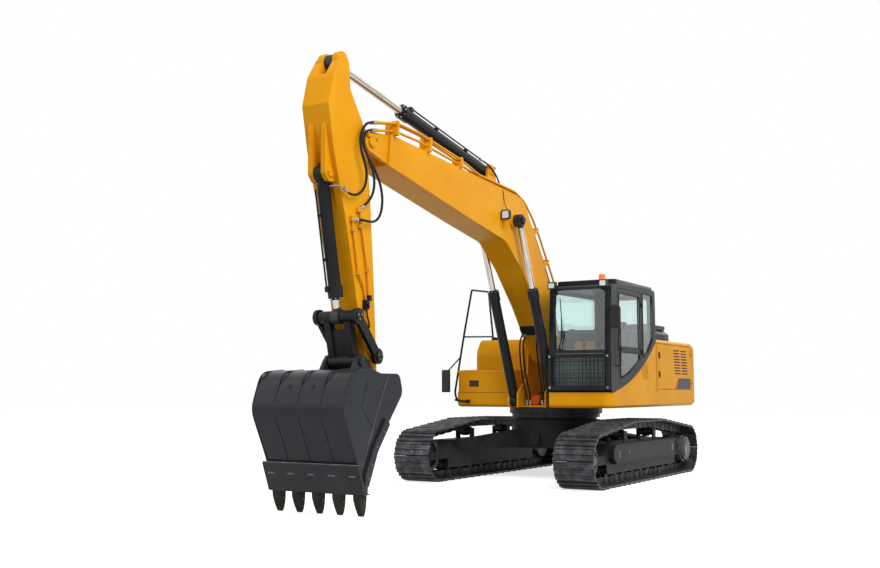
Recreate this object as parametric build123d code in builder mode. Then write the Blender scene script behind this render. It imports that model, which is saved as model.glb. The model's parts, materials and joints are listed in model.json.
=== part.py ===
"""Crawler excavator, 26-tonne class, as separate named pieces.

Modelled in millimetres about the swing axis: +X towards the boom, +Y to the
machine's left (the cab side), +Z up, ground at z = 0.  Each piece is moved by
BOX_CENTRE_X on export, so that the row's origin is the bottom centre of the
whole machine's box.
"""
from build123d import *
import os
from math import atan2, cos, degrees, hypot, pi, radians, sin

os.makedirs("parts", exist_ok=True)

# ---------------------------------------------------------------- tracks
GAUGE = 2590.0                # between the centre lines of the two tracks
SHOE_WIDTH = 600.0
TRACK_LENGTH = 4640.0         # over the grousers
WRAP_RADIUS = 392.0           # grouser tips at the idler and the sprocket
GROUSER_HEIGHT = 26.0
SHOE_PLATE = 12.0
LINK_HEIGHT = 105.0
RAIL_WIDTH = 42.0             # each of the two chains of links
RAIL_SPACING = 150.0          # between the centres of the two rails
SHOE_COUNT = 48
TREAD_RADIUS = WRAP_RADIUS - GROUSER_HEIGHT - SHOE_PLATE - LINK_HEIGHT
WHEEL_X = TRACK_LENGTH / 2 - WRAP_RADIUS
WHEEL_Z = WRAP_RADIUS
RAIL_TOP_Z = GROUSER_HEIGHT + SHOE_PLATE + LINK_HEIGHT
TOP_RUN_Z = 925.0             # grouser tips over the carrier rollers
CARRIER_RADIUS = 62.0
CARRIER_XS = (680.0, -580.0)
CARRIER_Z = TOP_RUN_Z - GROUSER_HEIGHT - SHOE_PLATE - LINK_HEIGHT - CARRIER_RADIUS
ROLLER_RADIUS = 80.0
ROLLER_COUNT = 9
ROLLER_Z = RAIL_TOP_Z + ROLLER_RADIUS
ROLLER_FIRST_X = -1400.0
ROLLER_PITCH = 350.0
ROLLER_XS = [ROLLER_FIRST_X + i * ROLLER_PITCH for i in range(ROLLER_COUNT)]
SEAT = 0.3                    # gap between pieces that seat on each other
TRACK_YS = (GAUGE / 2, -GAUGE / 2)

# ---------------------------------------------------------------- track frames, carbody
FRAME_HALF_WIDTH = 165.0
FRAME_BOTTOM_Z = 300.0
FRAME_TOP_Z = 600.0
FRAME_END_X = 1560.0
CARBODY_BOTTOM_Z = 470.0
CARBODY_TOP_Z = 900.0
LEG_X = 1020.0
LEG_WIDTH = 420.0
RING_RADIUS = 740.0
RACE_TOP_Z = 940.0            # the carbody's fixed race
RING_FLANGE_Z = 1010.0        # underside of the house's ring flange

# ---------------------------------------------------------------- upper structure
HALF_WIDTH = 1420.0
DECK_BOTTOM_Z = 1100.0
DECK_TOP_Z = 1330.0
DECK_FRONT_X = 1180.0
BEAM_FRONT_X = 735.0
TAIL_X = -2980.0
WEIGHT_FRONT_X = -2640.0
BODY_FRONT_X = -820.0
BODY_TOP_Z = 2180.0
WALL = 30.0

# ---------------------------------------------------------------- cab
CAB_INNER_Y = 435.0
CAB_REAR_X = -775.0
CAB_ROOF_Z = 2980.0
CAB_FLOOR_Z = DECK_TOP_Z + SEAT
CAB_WALL = 55.0
PANEL = 25.0                  # the yellow side panel over the cab's lower wall
DOOR_FRONT_X = 900.0
DOOR_REAR_X = -115.0
DOOR_THICKNESS = 45.0
DOOR_GAP = 8.0

# ---------------------------------------------------------------- linkage pins (x, z)
BOOM_FOOT = (320.0, 1920.0)
BOOM_TIP = (5520.0, 4275.0)
BOOM_CYL_BASE = (800.0, 1200.0)
BOOM_CYL_EYE = (1930.0, 3830.0)
ARM_CYL_BASE = (2360.0, 4510.0)
ARM_CYL_EYE = (6050.0, 5120.0)
BUCKET_CYL_BASE = (6240.0, 3787.0)
LINK_TOP = (5905.0, 2190.0)   # rocker, bucket link and bucket cylinder rod
ROCKER_PIVOT = (5510.0, 1750.0)
BUCKET_PIVOT = (5500.0, 1400.0)
BUCKET_EAR = (5775.0, 1680.0)

BOOM_HALF_WIDTH = 215.0
BOOM_CYL_Y = 330.0
ARM_HALF_WIDTH = 185.0
PIN_GAP = 5.0                 # between an eye and what stands beside it

BOX_CENTRE_X = (TAIL_X + 6640.0) / 2


# ---------------------------------------------------------------- helpers
def side_plane(y):
    """Plane across the machine at y, with local x along +X and local y along +Z."""
    return Plane(origin=(0, y, 0), x_dir=(1, 0, 0), z_dir=(0, -1, 0))


def plate(rows, y_low, y_high, mode=Mode.ADD):
    """Side-view outline of (x, z, corner radius) rows, extruded from y_low to y_high."""
    with BuildSketch(side_plane(y_high)) as profile:
        with BuildLine():
            FilletPolyline(*[(x, z) for x, z, _ in rows], radius=[r for _, _, r in rows], close=True)
        make_face()
    extrude(profile.sketch, amount=y_high - y_low, mode=mode)


def cross_bar(centre, radius, y_low, y_high, mode=Mode.ADD):
    """Round bar or bore along Y at centre (x, z)."""
    with BuildSketch(side_plane(y_high)) as profile:
        with Locations(centre):
            Circle(radius)
    extrude(profile.sketch, amount=y_high - y_low, mode=mode)


def box(x_low, x_high, y_low, y_high, z_low, z_high, mode=Mode.ADD):
    """Box between two corners."""
    with Locations(((x_low + x_high) / 2, (y_low + y_high) / 2, (z_low + z_high) / 2)):
        Box(x_high - x_low, y_high - y_low, z_high - z_low, mode=mode)


def axis_plane(start, end, y=0.0):
    """Plane at start (x, z), its normal pointing to end (x, z)."""
    run = (end[0] - start[0], end[1] - start[1])
    return Plane(origin=(start[0], y, start[1]), x_dir=(0, 1, 0), z_dir=(run[0], 0, run[1]))


def round_bar(plane, low, high, radius, mode=Mode.ADD):
    """Round bar along a plane's normal, between two distances from its origin."""
    with BuildSketch(plane.offset(low)) as profile:
        Circle(radius)
    extrude(profile.sketch, amount=high - low, mode=mode)


def distance(a, b):
    return hypot(b[0] - a[0], b[1] - a[1])


def shifted(point, dx, dz, radius):
    """Outline row at an offset from a pin."""
    return (point[0] + dx, point[1] + dz, radius)


def tube_path(points, radius, bend):
    """Pipe of the given radius along a filleted run of (x, y, z) points: straight bars and torus bends."""
    with BuildLine() as route:
        if len(points) > 2:
            FilletPolyline(*points, radius=bend)
        else:
            Line(*points)
    for run in route.line.edges():
        with BuildSketch(Plane(origin=run @ 0, z_dir=run % 0)) as section:
            Circle(radius)
        if run.geom_type == GeomType.CIRCLE:
            turn = (run % 0).cross(run % 1)
            axis = Axis(run.arc_center, turn)
            revolve(section.sketch, axis=axis, revolution_arc=degrees(run.length / run.radius))
        else:
            extrude(section.sketch, amount=run.length)


def save(piece, name):
    """Label a piece, move it to the row's frame and write it."""
    moved = piece.moved(Location((-BOX_CENTRE_X, 0, 0)))
    moved.label = name
    export_step(moved, "parts/" + name + ".step")


# ---------------------------------------------------------------- tracks and their wheels
def belt(height):
    """Face inside the belt that lies at a height above the link rails."""
    with BuildSketch(side_plane(0)) as face:
        with Locations((WHEEL_X, WHEEL_Z), (-WHEEL_X, WHEEL_Z)):
            Circle(TREAD_RADIUS + height)
        with Locations(*[(x, CARRIER_Z) for x in CARRIER_XS]):
            Circle(CARRIER_RADIUS + height)
        make_hull()
    return face.sketch


def belt_ring(low, high):
    with BuildSketch(side_plane(0)) as ring:
        add(belt(high))
        add(belt(low), mode=Mode.SUBTRACT)
    return ring.sketch


# one shoe's outer face: distance along the shoe as a share of the pitch, height over its plate
SHOE_PROFILE = (
    (0.03, 0.0), (0.06, 26.0), (0.12, 26.0), (0.17, 0.0),
    (0.37, 0.0), (0.41, 26.0), (0.47, 26.0), (0.51, 0.0),
    (0.72, 0.0), (0.76, 26.0), (0.82, 26.0), (0.87, 0.0),
)


def shoe_ring():
    """Ring of shoe plates whose outer edge repeats the grouser profile once a shoe."""
    outer = belt(LINK_HEIGHT + SHOE_PLATE).face().outer_wire()
    start, run = outer @ 0, outer % 0
    turn = 1 if start.X * -run.Z + (start.Z - WHEEL_Z) * run.X > 0 else -1
    edge = []
    for shoe in range(SHOE_COUNT):
        for share, height in SHOE_PROFILE:
            at = (shoe + share) / SHOE_COUNT
            foot, run = outer @ at, outer % at
            edge.append((foot.X - turn * run.Z * height, foot.Z + turn * run.X * height))
    with BuildSketch(side_plane(0)) as ring:
        with BuildLine():
            Polyline(*edge, close=True)
        make_face()
        add(belt(LINK_HEIGHT), mode=Mode.SUBTRACT)
    return ring.sketch


SHOES = shoe_ring()
RAILS = belt_ring(0, LINK_HEIGHT)


def track(y):
    with BuildPart() as loop:
        extrude(SHOES.moved(Location((0, y + SHOE_WIDTH / 2, 0))), amount=SHOE_WIDTH)
        for offset in (-RAIL_SPACING / 2, RAIL_SPACING / 2):
            start = y + offset + RAIL_WIDTH / 2
            extrude(RAILS.moved(Location((0, start, 0))), amount=RAIL_WIDTH)
    return loop.part


def idlers():
    """Flanged idler wheels: the tread runs under both rails, the flange between them."""
    flange = RAIL_SPACING / 2 - RAIL_WIDTH / 2 - PIN_GAP
    with BuildPart() as wheels:
        for y in TRACK_YS:
            cross_bar((WHEEL_X, WHEEL_Z), TREAD_RADIUS - SEAT, y - 105, y + 105)
            cross_bar((WHEEL_X, WHEEL_Z), TREAD_RADIUS + 22, y - flange, y + flange)
            cross_bar((WHEEL_X, WHEEL_Z), TREAD_RADIUS - 60, y + 60, y + 106, mode=Mode.SUBTRACT)
            cross_bar((WHEEL_X, WHEEL_Z), TREAD_RADIUS - 60, y - 106, y - 60, mode=Mode.SUBTRACT)
            cross_bar((WHEEL_X, WHEEL_Z), 70, y - 126, y + 126)
    return wheels.part


SPROCKET_TEETH = 21


def sprockets():
    """Toothed rims on the final drives, whose covers face outwards."""
    with BuildPart() as wheels:
        for y in TRACK_YS:
            side = 1 if y > 0 else -1
            with BuildSketch(side_plane(y + 30)) as rim:
                with Locations((-WHEEL_X, WHEEL_Z)):
                    Circle(TREAD_RADIUS - 12)
                    with PolarLocations(TREAD_RADIUS, SPROCKET_TEETH):
                        with Locations(Location((0, 0), -90)):
                            Trapezoid(50, 70, 72)
            extrude(rim.sketch, amount=60)
            centre = (-WHEEL_X, WHEEL_Z)
            spans = ((218, -140, 165), (190, 165, 215), (150, 215, 240))
            for radius, low, high in spans:
                ends = sorted((y + side * low, y + side * high))
                cross_bar(centre, radius, ends[0], ends[1])
    return wheels.part


def rollers(xs, z, radius):
    """Double-flanged rollers under or over the two rails, on their axles."""
    flange = RAIL_SPACING / 2 - RAIL_WIDTH / 2 - PIN_GAP
    with BuildPart() as row:
        for y in TRACK_YS:
            for x in xs:
                cross_bar((x, z), radius - SEAT, y - 108, y + 108)
                cross_bar((x, z), radius + 18, y - flange, y + flange)
    return row.part


def track_frame(y):
    """Boxed side frame with roller skirts, idler yokes and an outer guard."""
    outer = 1 if y > 0 else -1
    with BuildPart() as frame:
        rows = (
            (-FRAME_END_X + 90, FRAME_BOTTOM_Z, 0), (FRAME_END_X - 60, FRAME_BOTTOM_Z, 0),
            (FRAME_END_X + 40, 360, 0), (FRAME_END_X + 40, 430, 0),
            (FRAME_END_X - 180, FRAME_TOP_Z, 60), (-FRAME_END_X + 220, FRAME_TOP_Z, 60),
            (-FRAME_END_X, 480, 0), (-FRAME_END_X, 380, 0),
        )
        plate(rows, y - FRAME_HALF_WIDTH, y + FRAME_HALF_WIDTH)
        for low, high in ((-FRAME_HALF_WIDTH, -FRAME_HALF_WIDTH + 32), (FRAME_HALF_WIDTH - 32, FRAME_HALF_WIDTH)):
            box(-FRAME_END_X + 100, FRAME_END_X - 60, y + low, y + high, ROLLER_Z - 45, FRAME_BOTTOM_Z + 1)
            box(FRAME_END_X, WHEEL_X + 110, y + low, y + high, WHEEL_Z - 70, WHEEL_Z + 50)
            box(-WHEEL_X - 40, -FRAME_END_X + 5, y + low, y + high, WHEEL_Z - 90, WHEEL_Z + 90)
        ends = sorted((y + outer * (FRAME_HALF_WIDTH - 1), y + outer * 240))
        guard = ((-1330, 318, 0), (1330, 318, 0), (1430, 400, 0), (1430, 520, 0),
                 (1360, 590, 0), (-1330, 590, 0))
        plate(guard, ends[0], ends[1])
        for x in CARRIER_XS:
            box(x - 60, x + 60, y - 140, y - 116, FRAME_TOP_Z - 1, CARRIER_Z + 40)
            box(x - 60, x + 60, y + 116, y + 140, FRAME_TOP_Z - 1, CARRIER_Z + 40)
            cross_bar((x, CARRIER_Z), 30, y - 140, y + 140)
        for i in range(ROLLER_COUNT):
            cross_bar((ROLLER_FIRST_X + i * ROLLER_PITCH, ROLLER_Z), 34, y - 140, y + 140)
        cross_bar((WHEEL_X, WHEEL_Z), 40, y - 150, y + 150)
        for x in CARRIER_XS:
            cross_bar((x, CARRIER_Z), CARRIER_RADIUS + 20, y - 108 - SEAT, y + 108 + SEAT, mode=Mode.SUBTRACT)
        for i in range(ROLLER_COUNT):
            centre = (ROLLER_FIRST_X + i * ROLLER_PITCH, ROLLER_Z)
            cross_bar(centre, ROLLER_RADIUS + 20, y - 108 - SEAT, y + 108 + SEAT, mode=Mode.SUBTRACT)
        cross_bar((WHEEL_X, WHEEL_Z), TREAD_RADIUS + 25, y - 126 - SEAT, y + 126 + SEAT, mode=Mode.SUBTRACT)
        cross_bar((-WHEEL_X, WHEEL_Z), 218 + SEAT, y - 260, y + 260, mode=Mode.SUBTRACT)
    return frame.part


def carbody():
    """X-shaped centre frame: four legs run out to the track frames under the swing ring."""
    inner = GAUGE / 2 - FRAME_HALF_WIDTH - SEAT
    with BuildPart() as body:
        with BuildSketch(Plane.XY.offset(CARBODY_BOTTOM_Z)) as hub:
            Circle(RING_RADIUS - 30)
        extrude(hub.sketch, amount=CARBODY_TOP_Z - CARBODY_BOTTOM_Z)
        for side in (1, -1):
            for end in (1, -1):
                with BuildSketch(Plane(origin=(end * 330, side * 350, 620), x_dir=(1, 0, 0), z_dir=(0, side, 0))) as a:
                    Rectangle(LEG_WIDTH + 120, 300)
                with BuildSketch(Plane(origin=(end * LEG_X, side * inner, 535), x_dir=(1, 0, 0), z_dir=(0, side, 0))) as b:
                    Rectangle(LEG_WIDTH, 130)
                loft([a.sketch.face(), b.sketch.face()])
        with BuildSketch(Plane.XY.offset(CARBODY_TOP_Z - 1)) as flange:
            Circle(RING_RADIUS - 90)
        extrude(flange.sketch, amount=RACE_TOP_Z - CARBODY_TOP_Z + 1)
        for end in (1, -1):
            box(end * 700 - 60, end * 700 + 60, -60, 60, CARBODY_BOTTOM_Z + 60, CARBODY_BOTTOM_Z + 200)
    return body.part


# ---------------------------------------------------------------- upper structure
def hinge(axis, z_ranges, leaf, pad=None):
    """Vertical hinge knuckles at axis (x, y), each with a flat leaf to (x, y) leaf and a pad under its end."""
    for low, high in z_ranges:
        with BuildSketch(Plane.XY.offset(low)) as knuckle:
            with Locations(axis):
                Circle(KNUCKLE_RADIUS)
        extrude(knuckle.sketch, amount=high - low)
        x_low, x_high = sorted((axis[0], leaf[0]))
        y_low, y_high = sorted((axis[1], leaf[1]))
        box(x_low, x_high, y_low, y_high, low, high)
        if pad:
            box(*sorted((leaf[0] - pad, leaf[0])), y_low - 1 if axis[1] > 0 else y_high,
                y_low if axis[1] > 0 else y_high + 1, low, high)


def hinge_ranges(centres, half, upper):
    """Alternate halves of each hinge: the fixed side takes the lower, the door the upper."""
    if upper:
        return [(z + SEAT / 2, z + half) for z in centres]
    return [(z - half, z - SEAT / 2) for z in centres]


KNUCKLE_RADIUS = 11.0
HINGE_OUT = 12.0              # hinge axis outside the panel's face
HINGE_HALF = 45.0
CAB_HINGES = (1960.0, 2700.0)
BODY_HINGES = (1500.0, 2000.0)
CAB_HINGE_AXIS = (DOOR_REAR_X - 10, HALF_WIDTH + HINGE_OUT)
BODY_HINGE_X = -2605.0

# tower outline: x, z, corner radius
TOWER = (
    (-760, DECK_BOTTOM_Z, 0), (-760, 1390, 40), (-180, 1600, 200), (120, 2070, 140),
    (505, 2070, 150), (560, 1560, 260), (900, 1330, 90), (905, DECK_BOTTOM_Z, 0),
)
TOWER_INNER = BOOM_HALF_WIDTH + PIN_GAP + 5
TOWER_OUTER = TOWER_INNER + 24
EYE_HALF = 52.0               # half the width of a boom cylinder's eyes
BASE_EAR_INNER = BOOM_CYL_Y + EYE_HALF + PIN_GAP


def main_frame():
    """Centre frame: belly plate, the two boom towers and the boom cylinder feet."""
    with BuildPart() as frame:
        box(WEIGHT_FRONT_X + SEAT, BEAM_FRONT_X, -440, 425, DECK_BOTTOM_Z, DECK_BOTTOM_Z + 28)
        box(-2500, -700, -440, 425, DECK_BOTTOM_Z + 27, DECK_BOTTOM_Z + 60)
        for side in (1, -1):
            low, high = sorted((side * TOWER_INNER, side * TOWER_OUTER))
            plate(TOWER, low, high)
            cross_bar(BOOM_FOOT, 120, *sorted((side * TOWER_OUTER, side * (TOWER_OUTER + 22))))
            cross_bar(BOOM_FOOT, 50, *sorted((side * (TOWER_INNER + 1), side * 60)))
            ear = (shifted(BOOM_CYL_BASE, -190, DECK_BOTTOM_Z - BOOM_CYL_BASE[1] + 1, 0),
                   shifted(BOOM_CYL_BASE, -85, 30, 60), shifted(BOOM_CYL_BASE, -60, 88, 50),
                   shifted(BOOM_CYL_BASE, 88, 88, 80), shifted(BOOM_CYL_BASE, 88, -60, 60),
                   shifted(BOOM_CYL_BASE, 60, DECK_BOTTOM_Z - BOOM_CYL_BASE[1] + 1, 0))
            outer = sorted((side * BASE_EAR_INNER, side * (BASE_EAR_INNER + 32)))
            plate(ear, outer[0], outer[1])
            cross_bar(BOOM_CYL_BASE, 38, *sorted((side * TOWER_INNER, side * (BASE_EAR_INNER + 2))))
            box(560, 735, *sorted((side * 200, side * (BASE_EAR_INNER + 32))), DECK_BOTTOM_Z, DECK_BOTTOM_Z + 24)
        cross_bar(BOOM_FOOT, 35, -80, 80)
    return frame.part


def swing_ring():
    """Outer race of the swing bearing, bolted under the main frame."""
    with BuildPart() as ring:
        with BuildSketch(Plane.XY.offset(RACE_TOP_Z + SEAT)) as race:
            Circle(RING_RADIUS - 40)
            Circle(420, mode=Mode.SUBTRACT)
        extrude(race.sketch, amount=RING_FLANGE_Z - RACE_TOP_Z)
        with BuildSketch(Plane.XY.offset(RING_FLANGE_Z)) as flange:
            Circle(RING_RADIUS)
            Circle(420, mode=Mode.SUBTRACT)
        extrude(flange.sketch, amount=DECK_BOTTOM_Z - SEAT - RING_FLANGE_Z)
    return ring.part


def deck(y_inner, y_outer, x_front, front_radius):
    """Side platform with a rounded lower outer edge and a rounded front corner."""
    low, high = sorted((y_inner, y_outer))
    with BuildPart() as platform:
        with BuildSketch(Plane.XY.offset(DECK_BOTTOM_Z)):
            with Locations(((WEIGHT_FRONT_X + SEAT + x_front) / 2, (low + high) / 2)):
                Rectangle(x_front - WEIGHT_FRONT_X - SEAT, high - low)
        extrude(amount=DECK_TOP_Z - DECK_BOTTOM_Z)
        corners = platform.edges().filter_by(Axis.Z).group_by(Axis.X)[-1]
        outer = corners.sort_by(Axis.Y)[-1 if y_outer > 0 else 0]
        fillet(outer, front_radius)
        bottom = platform.edges().group_by(Axis.Z)[0].filter_by(
            lambda edge: abs(edge.center().Y - y_outer) < 1 or edge.center().X > x_front - front_radius)
        fillet(bottom, 55)
    return platform.part


def counterweight():
    """Cast weight: a bulged rear face, rounded corners and two lifting eyes."""
    with BuildPart() as weight:
        with BuildSketch(Plane.XY.offset(DECK_BOTTOM_Z)):
            with BuildLine():
                Line((WEIGHT_FRONT_X, -HALF_WIDTH), (WEIGHT_FRONT_X, HALF_WIDTH))
                Line((WEIGHT_FRONT_X, HALF_WIDTH), (TAIL_X + 110, HALF_WIDTH))
                ThreePointArc((TAIL_X + 110, HALF_WIDTH), (TAIL_X, 0), (TAIL_X + 110, -HALF_WIDTH))
                Line((TAIL_X + 110, -HALF_WIDTH), (WEIGHT_FRONT_X, -HALF_WIDTH))
            make_face()
        extrude(amount=BODY_TOP_Z - 30 - DECK_BOTTOM_Z)
        fillet(weight.edges().filter_by(Axis.Z).group_by(Axis.X)[0], 150)
        rim = weight.edges().group_by(Axis.Z)[-1].filter_by(lambda edge: edge.center().X < WEIGHT_FRONT_X - 5)
        fillet(rim, 70)
        foot = weight.edges().group_by(Axis.Z)[0].filter_by(lambda edge: edge.center().X < WEIGHT_FRONT_X - 5)
        chamfer(foot, 60)
        for y in (LIFT_EYE_Y, -LIFT_EYE_Y):
            eye = ((-2850, BODY_TOP_Z - 32, 0), (-2850, BODY_TOP_Z + 50, 45),
                   (-2730, BODY_TOP_Z + 50, 45), (-2730, BODY_TOP_Z - 32, 0))
            plate(eye, y - 20, y + 20)
            cross_bar((-2790, BODY_TOP_Z + 8), LIFT_EYE_RADIUS, y - 21, y + 21, mode=Mode.SUBTRACT)
    return weight.part


LIFT_EYE_Y = 700.0
LIFT_EYE_RADIUS = 26.0
TANK_INNER_Y = -530.0
TANK_REAR_X = -1290.0
DOOR_LOW_Z = 1375.0
DOOR_HIGH_Z = 2120.0
LEFT_DOOR_FRONT_X = -860.0
RIGHT_DOOR_FRONT_X = -1340.0
HOOD = dict(front=-1000.0, rear=-2080.0, right=-900.0, left=1200.0)
HOOD_TOP_Z = 2385.0


def body_shell():
    """Sheet-metal housing over the engine bay: walls with door and hood openings."""
    with BuildPart() as shell:
        rear = WEIGHT_FRONT_X + SEAT
        bottom = DECK_TOP_Z + SEAT
        box(rear, BODY_FRONT_X, TANK_INNER_Y, HALF_WIDTH, bottom, BODY_TOP_Z)
        box(rear, TANK_REAR_X, -HALF_WIDTH, TANK_INNER_Y + 1, bottom, BODY_TOP_Z)
        long_edges = shell.edges().filter_by(Axis.X).group_by(Axis.Z)[-1]
        fillet([edge for edge in long_edges if abs(abs(edge.center().Y) - HALF_WIDTH) < 1], 45)
        box(rear + 2, BODY_FRONT_X - WALL, TANK_INNER_Y + WALL, HALF_WIDTH - WALL,
            bottom - 1, BODY_TOP_Z - WALL, mode=Mode.SUBTRACT)
        box(rear + 2, TANK_REAR_X - WALL, -HALF_WIDTH + WALL, TANK_INNER_Y + WALL + 1,
            bottom - 1, BODY_TOP_Z - WALL, mode=Mode.SUBTRACT)
        box(BODY_HINGE_X + 15, LEFT_DOOR_FRONT_X, HALF_WIDTH - WALL - 1, HALF_WIDTH + 1,
            DOOR_LOW_Z, DOOR_HIGH_Z, mode=Mode.SUBTRACT)
        box(BODY_HINGE_X + 15, RIGHT_DOOR_FRONT_X, -HALF_WIDTH - 1, -HALF_WIDTH + WALL + 1,
            DOOR_LOW_Z, DOOR_HIGH_Z, mode=Mode.SUBTRACT)
        box(HOOD["rear"] + 60, HOOD["front"] - 60, HOOD["right"] + 60, HOOD["left"] - 60,
            BODY_TOP_Z - WALL - 1, BODY_TOP_Z + 1, mode=Mode.SUBTRACT)
        box(rear + 1, rear + 3, -HALF_WIDTH + 60, HALF_WIDTH - 60, bottom, BODY_TOP_Z - 60, mode=Mode.SUBTRACT)
        for side in (1, -1):
            face = side * HALF_WIDTH
            ranges = hinge_ranges(BODY_HINGES, HINGE_HALF, False)
            hinge((BODY_HINGE_X, side * (HALF_WIDTH + HINGE_OUT)), ranges, (BODY_HINGE_X - 25, face))
    return shell.part


def side_door(side, front_x):
    """Flush service door, hinged at its rear edge, with two columns of louvres."""
    face = side * HALF_WIDTH
    inner = side * (HALF_WIDTH - WALL)
    y_low, y_high = sorted((face, inner))
    with BuildPart() as door:
        box(BODY_HINGE_X + 15 + DOOR_GAP, front_x - DOOR_GAP, y_low, y_high,
            DOOR_LOW_Z + DOOR_GAP, DOOR_HIGH_Z - DOOR_GAP)
        for column in range(2):
            for row in range(9):
                z = 1640 + row * 48
                x = -2400 + column * 380 + row * 9
                box(x, x + 300, y_low - 1, y_high + 1, z, z + 20, mode=Mode.SUBTRACT)
        ranges = hinge_ranges(BODY_HINGES, HINGE_HALF, True)
        hinge((BODY_HINGE_X, side * (HALF_WIDTH + HINGE_OUT)), ranges,
              (BODY_HINGE_X + 60, side * (HALF_WIDTH + SEAT)), 30)
    return door.part


def engine_block():
    """Plain block at the engine's real place and size."""
    with BuildPart() as block:
        box(-2250, -1250, -380, 420, DECK_BOTTOM_Z + 60 + SEAT, 1980)
    return block.part


def engine_hood():
    """Raised hood with chamfered edges, hollow below, hinged along its front edge."""
    with BuildPart() as hood:
        box(HOOD["rear"], HOOD["front"], HOOD["right"], HOOD["left"], BODY_TOP_Z + SEAT, HOOD_TOP_Z)
        top = hood.faces().sort_by(Axis.Z)[-1].edges()
        chamfer(top, 70)
        box(HOOD["rear"] + 40, HOOD["front"] - 40, HOOD["right"] + 40, HOOD["left"] - 40,
            BODY_TOP_Z - 1, HOOD_TOP_Z - 75, mode=Mode.SUBTRACT)
    return hood.part


def exhaust_stack():
    """Exhaust outlet with a cut-back mouth, on the body's rear deck."""
    with BuildPart() as stack:
        with BuildSketch(Plane.XY.offset(BODY_TOP_Z + SEAT)) as tube:
            with Locations((-2300, -700)):
                Circle(62)
        extrude(tube.sketch, amount=300)
        with BuildSketch(Plane.XY.offset(BODY_TOP_Z + 20)) as bore:
            with Locations((-2300, -700)):
                Circle(54)
        extrude(bore.sketch, amount=300, mode=Mode.SUBTRACT)
    return stack.part


def fuel_tank():
    """Tall tank behind the tool box, its front upper edge rounded."""
    with BuildPart() as tank:
        rows = ((-600, DECK_TOP_Z + SEAT, 0), (-600, 2205, 30), (-40, 2205, 190),
                (100, 1990, 260), (100, DECK_TOP_Z + SEAT, 0))
        plate(rows, -1390, TANK_INNER_Y)
    return tank.part


def hydraulic_tank():
    """Oil tank between the fuel tank and the pump bay."""
    with BuildPart() as tank:
        box(TANK_REAR_X + 8, -610, -1390, TANK_INNER_Y, DECK_TOP_Z + SEAT, 2170)
        fillet(tank.edges().filter_by(Axis.X).group_by(Axis.Z)[-1], 50)
    return tank.part


TOOL_BOX_TOP_Z = 1640.0


def tool_box():
    """Open-topped tool box at the right front of the deck."""
    with BuildPart() as case:
        box(110, 735, -1395, -450, DECK_TOP_Z + SEAT, TOOL_BOX_TOP_Z)
        fillet(case.edges().filter_by(Axis.Z).group_by(Axis.X)[-1], 40)
        box(150, 700, -1360, -485, DECK_TOP_Z + 30, TOOL_BOX_TOP_Z + 1, mode=Mode.SUBTRACT)
    return case.part


def tool_box_lid():
    """Lid with a rounded front edge, hinged at the rear."""
    with BuildPart() as lid:
        box(118, 735, -1395, -450, TOOL_BOX_TOP_Z + SEAT, TOOL_BOX_TOP_Z + 45)
        fillet(lid.edges().group_by(Axis.Z)[-1].filter_by(Axis.Y).sort_by(Axis.X)[-1], 30)
    return lid.part


# ---------------------------------------------------------------- cab
CAB_PROFILE = (
    (CAB_REAR_X, CAB_FLOOR_Z, 0), (CAB_REAR_X, CAB_ROOF_Z - 20, 70), (-300, CAB_ROOF_Z, 900),
    (1120, CAB_ROOF_Z - 60, 110), (DECK_FRONT_X - 4, 1950, 900), (DECK_FRONT_X - 4, CAB_FLOOR_Z, 60),
)
CAB_HOLLOW = (
    (CAB_REAR_X + CAB_WALL, CAB_FLOOR_Z + 50, 30), (CAB_REAR_X + CAB_WALL, CAB_ROOF_Z - 90, 60),
    (1080, CAB_ROOF_Z - 120, 90), (DECK_FRONT_X - CAB_WALL, 1950, 900), (DECK_FRONT_X - CAB_WALL, CAB_FLOOR_Z + 50, 30),
)
SWEEP_FRONT = (1000.0, CAB_FLOOR_Z + 20)
SWEEP_MIDDLE = (0.0, 1655.0)
SWEEP_REAR = (CAB_REAR_X, 2130.0)
# door opening: x, z, corner radius
DOOR_OPENING = (
    (DOOR_FRONT_X, 2880, 60), (DOOR_FRONT_X + 20, 1700, 300), (820, 1430, 60), (420, 1530, 500),
    (DOOR_REAR_X, 1770, 40), (DOOR_REAR_X, 2880, 60),
)
FRONT_WINDOW = (520.0, 1330.0, 1470.0, 2850.0)    # y from, y to, z from, z to
RIGHT_WINDOW = ((-640, 1500, 60), (-640, 2850, 80), (1010, 2830, 90), (1060, 1560, 60))
QUARTER_WINDOW = ((-185, 2880, 50), (-640, 2880, 60), (-640, 2180, 120), (-440, 1980, 200), (-185, 1860, 50))
REAR_WINDOW = (560.0, 1295.0, 2050.0, 2840.0)
DOOR_UPPER_WINDOW = ((830, 2810, 60), (860, 2000, 50), (-45, 2000, 40), (-45, 2810, 60))
DOOR_LOWER_WINDOW = ((830, 1930, 40), (780, 1530, 60), (420, 1620, 400), (-45, 1820, 40), (-45, 1930, 30))
GLASS = 6.0


def inset(rows, gap):
    """Rows moved towards their centre by about a gap, with smaller corners."""
    x_mid = (max(x for x, _, _ in rows) + min(x for x, _, _ in rows)) / 2
    z_mid = (max(z for _, z, _ in rows) + min(z for _, z, _ in rows)) / 2
    x_half = (max(x for x, _, _ in rows) - min(x for x, _, _ in rows)) / 2
    z_half = (max(z for _, z, _ in rows) - min(z for _, z, _ in rows)) / 2
    return [(x_mid + (x - x_mid) * (1 - gap / x_half), z_mid + (z - z_mid) * (1 - gap / z_half), r)
            for x, z, r in rows]


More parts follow.
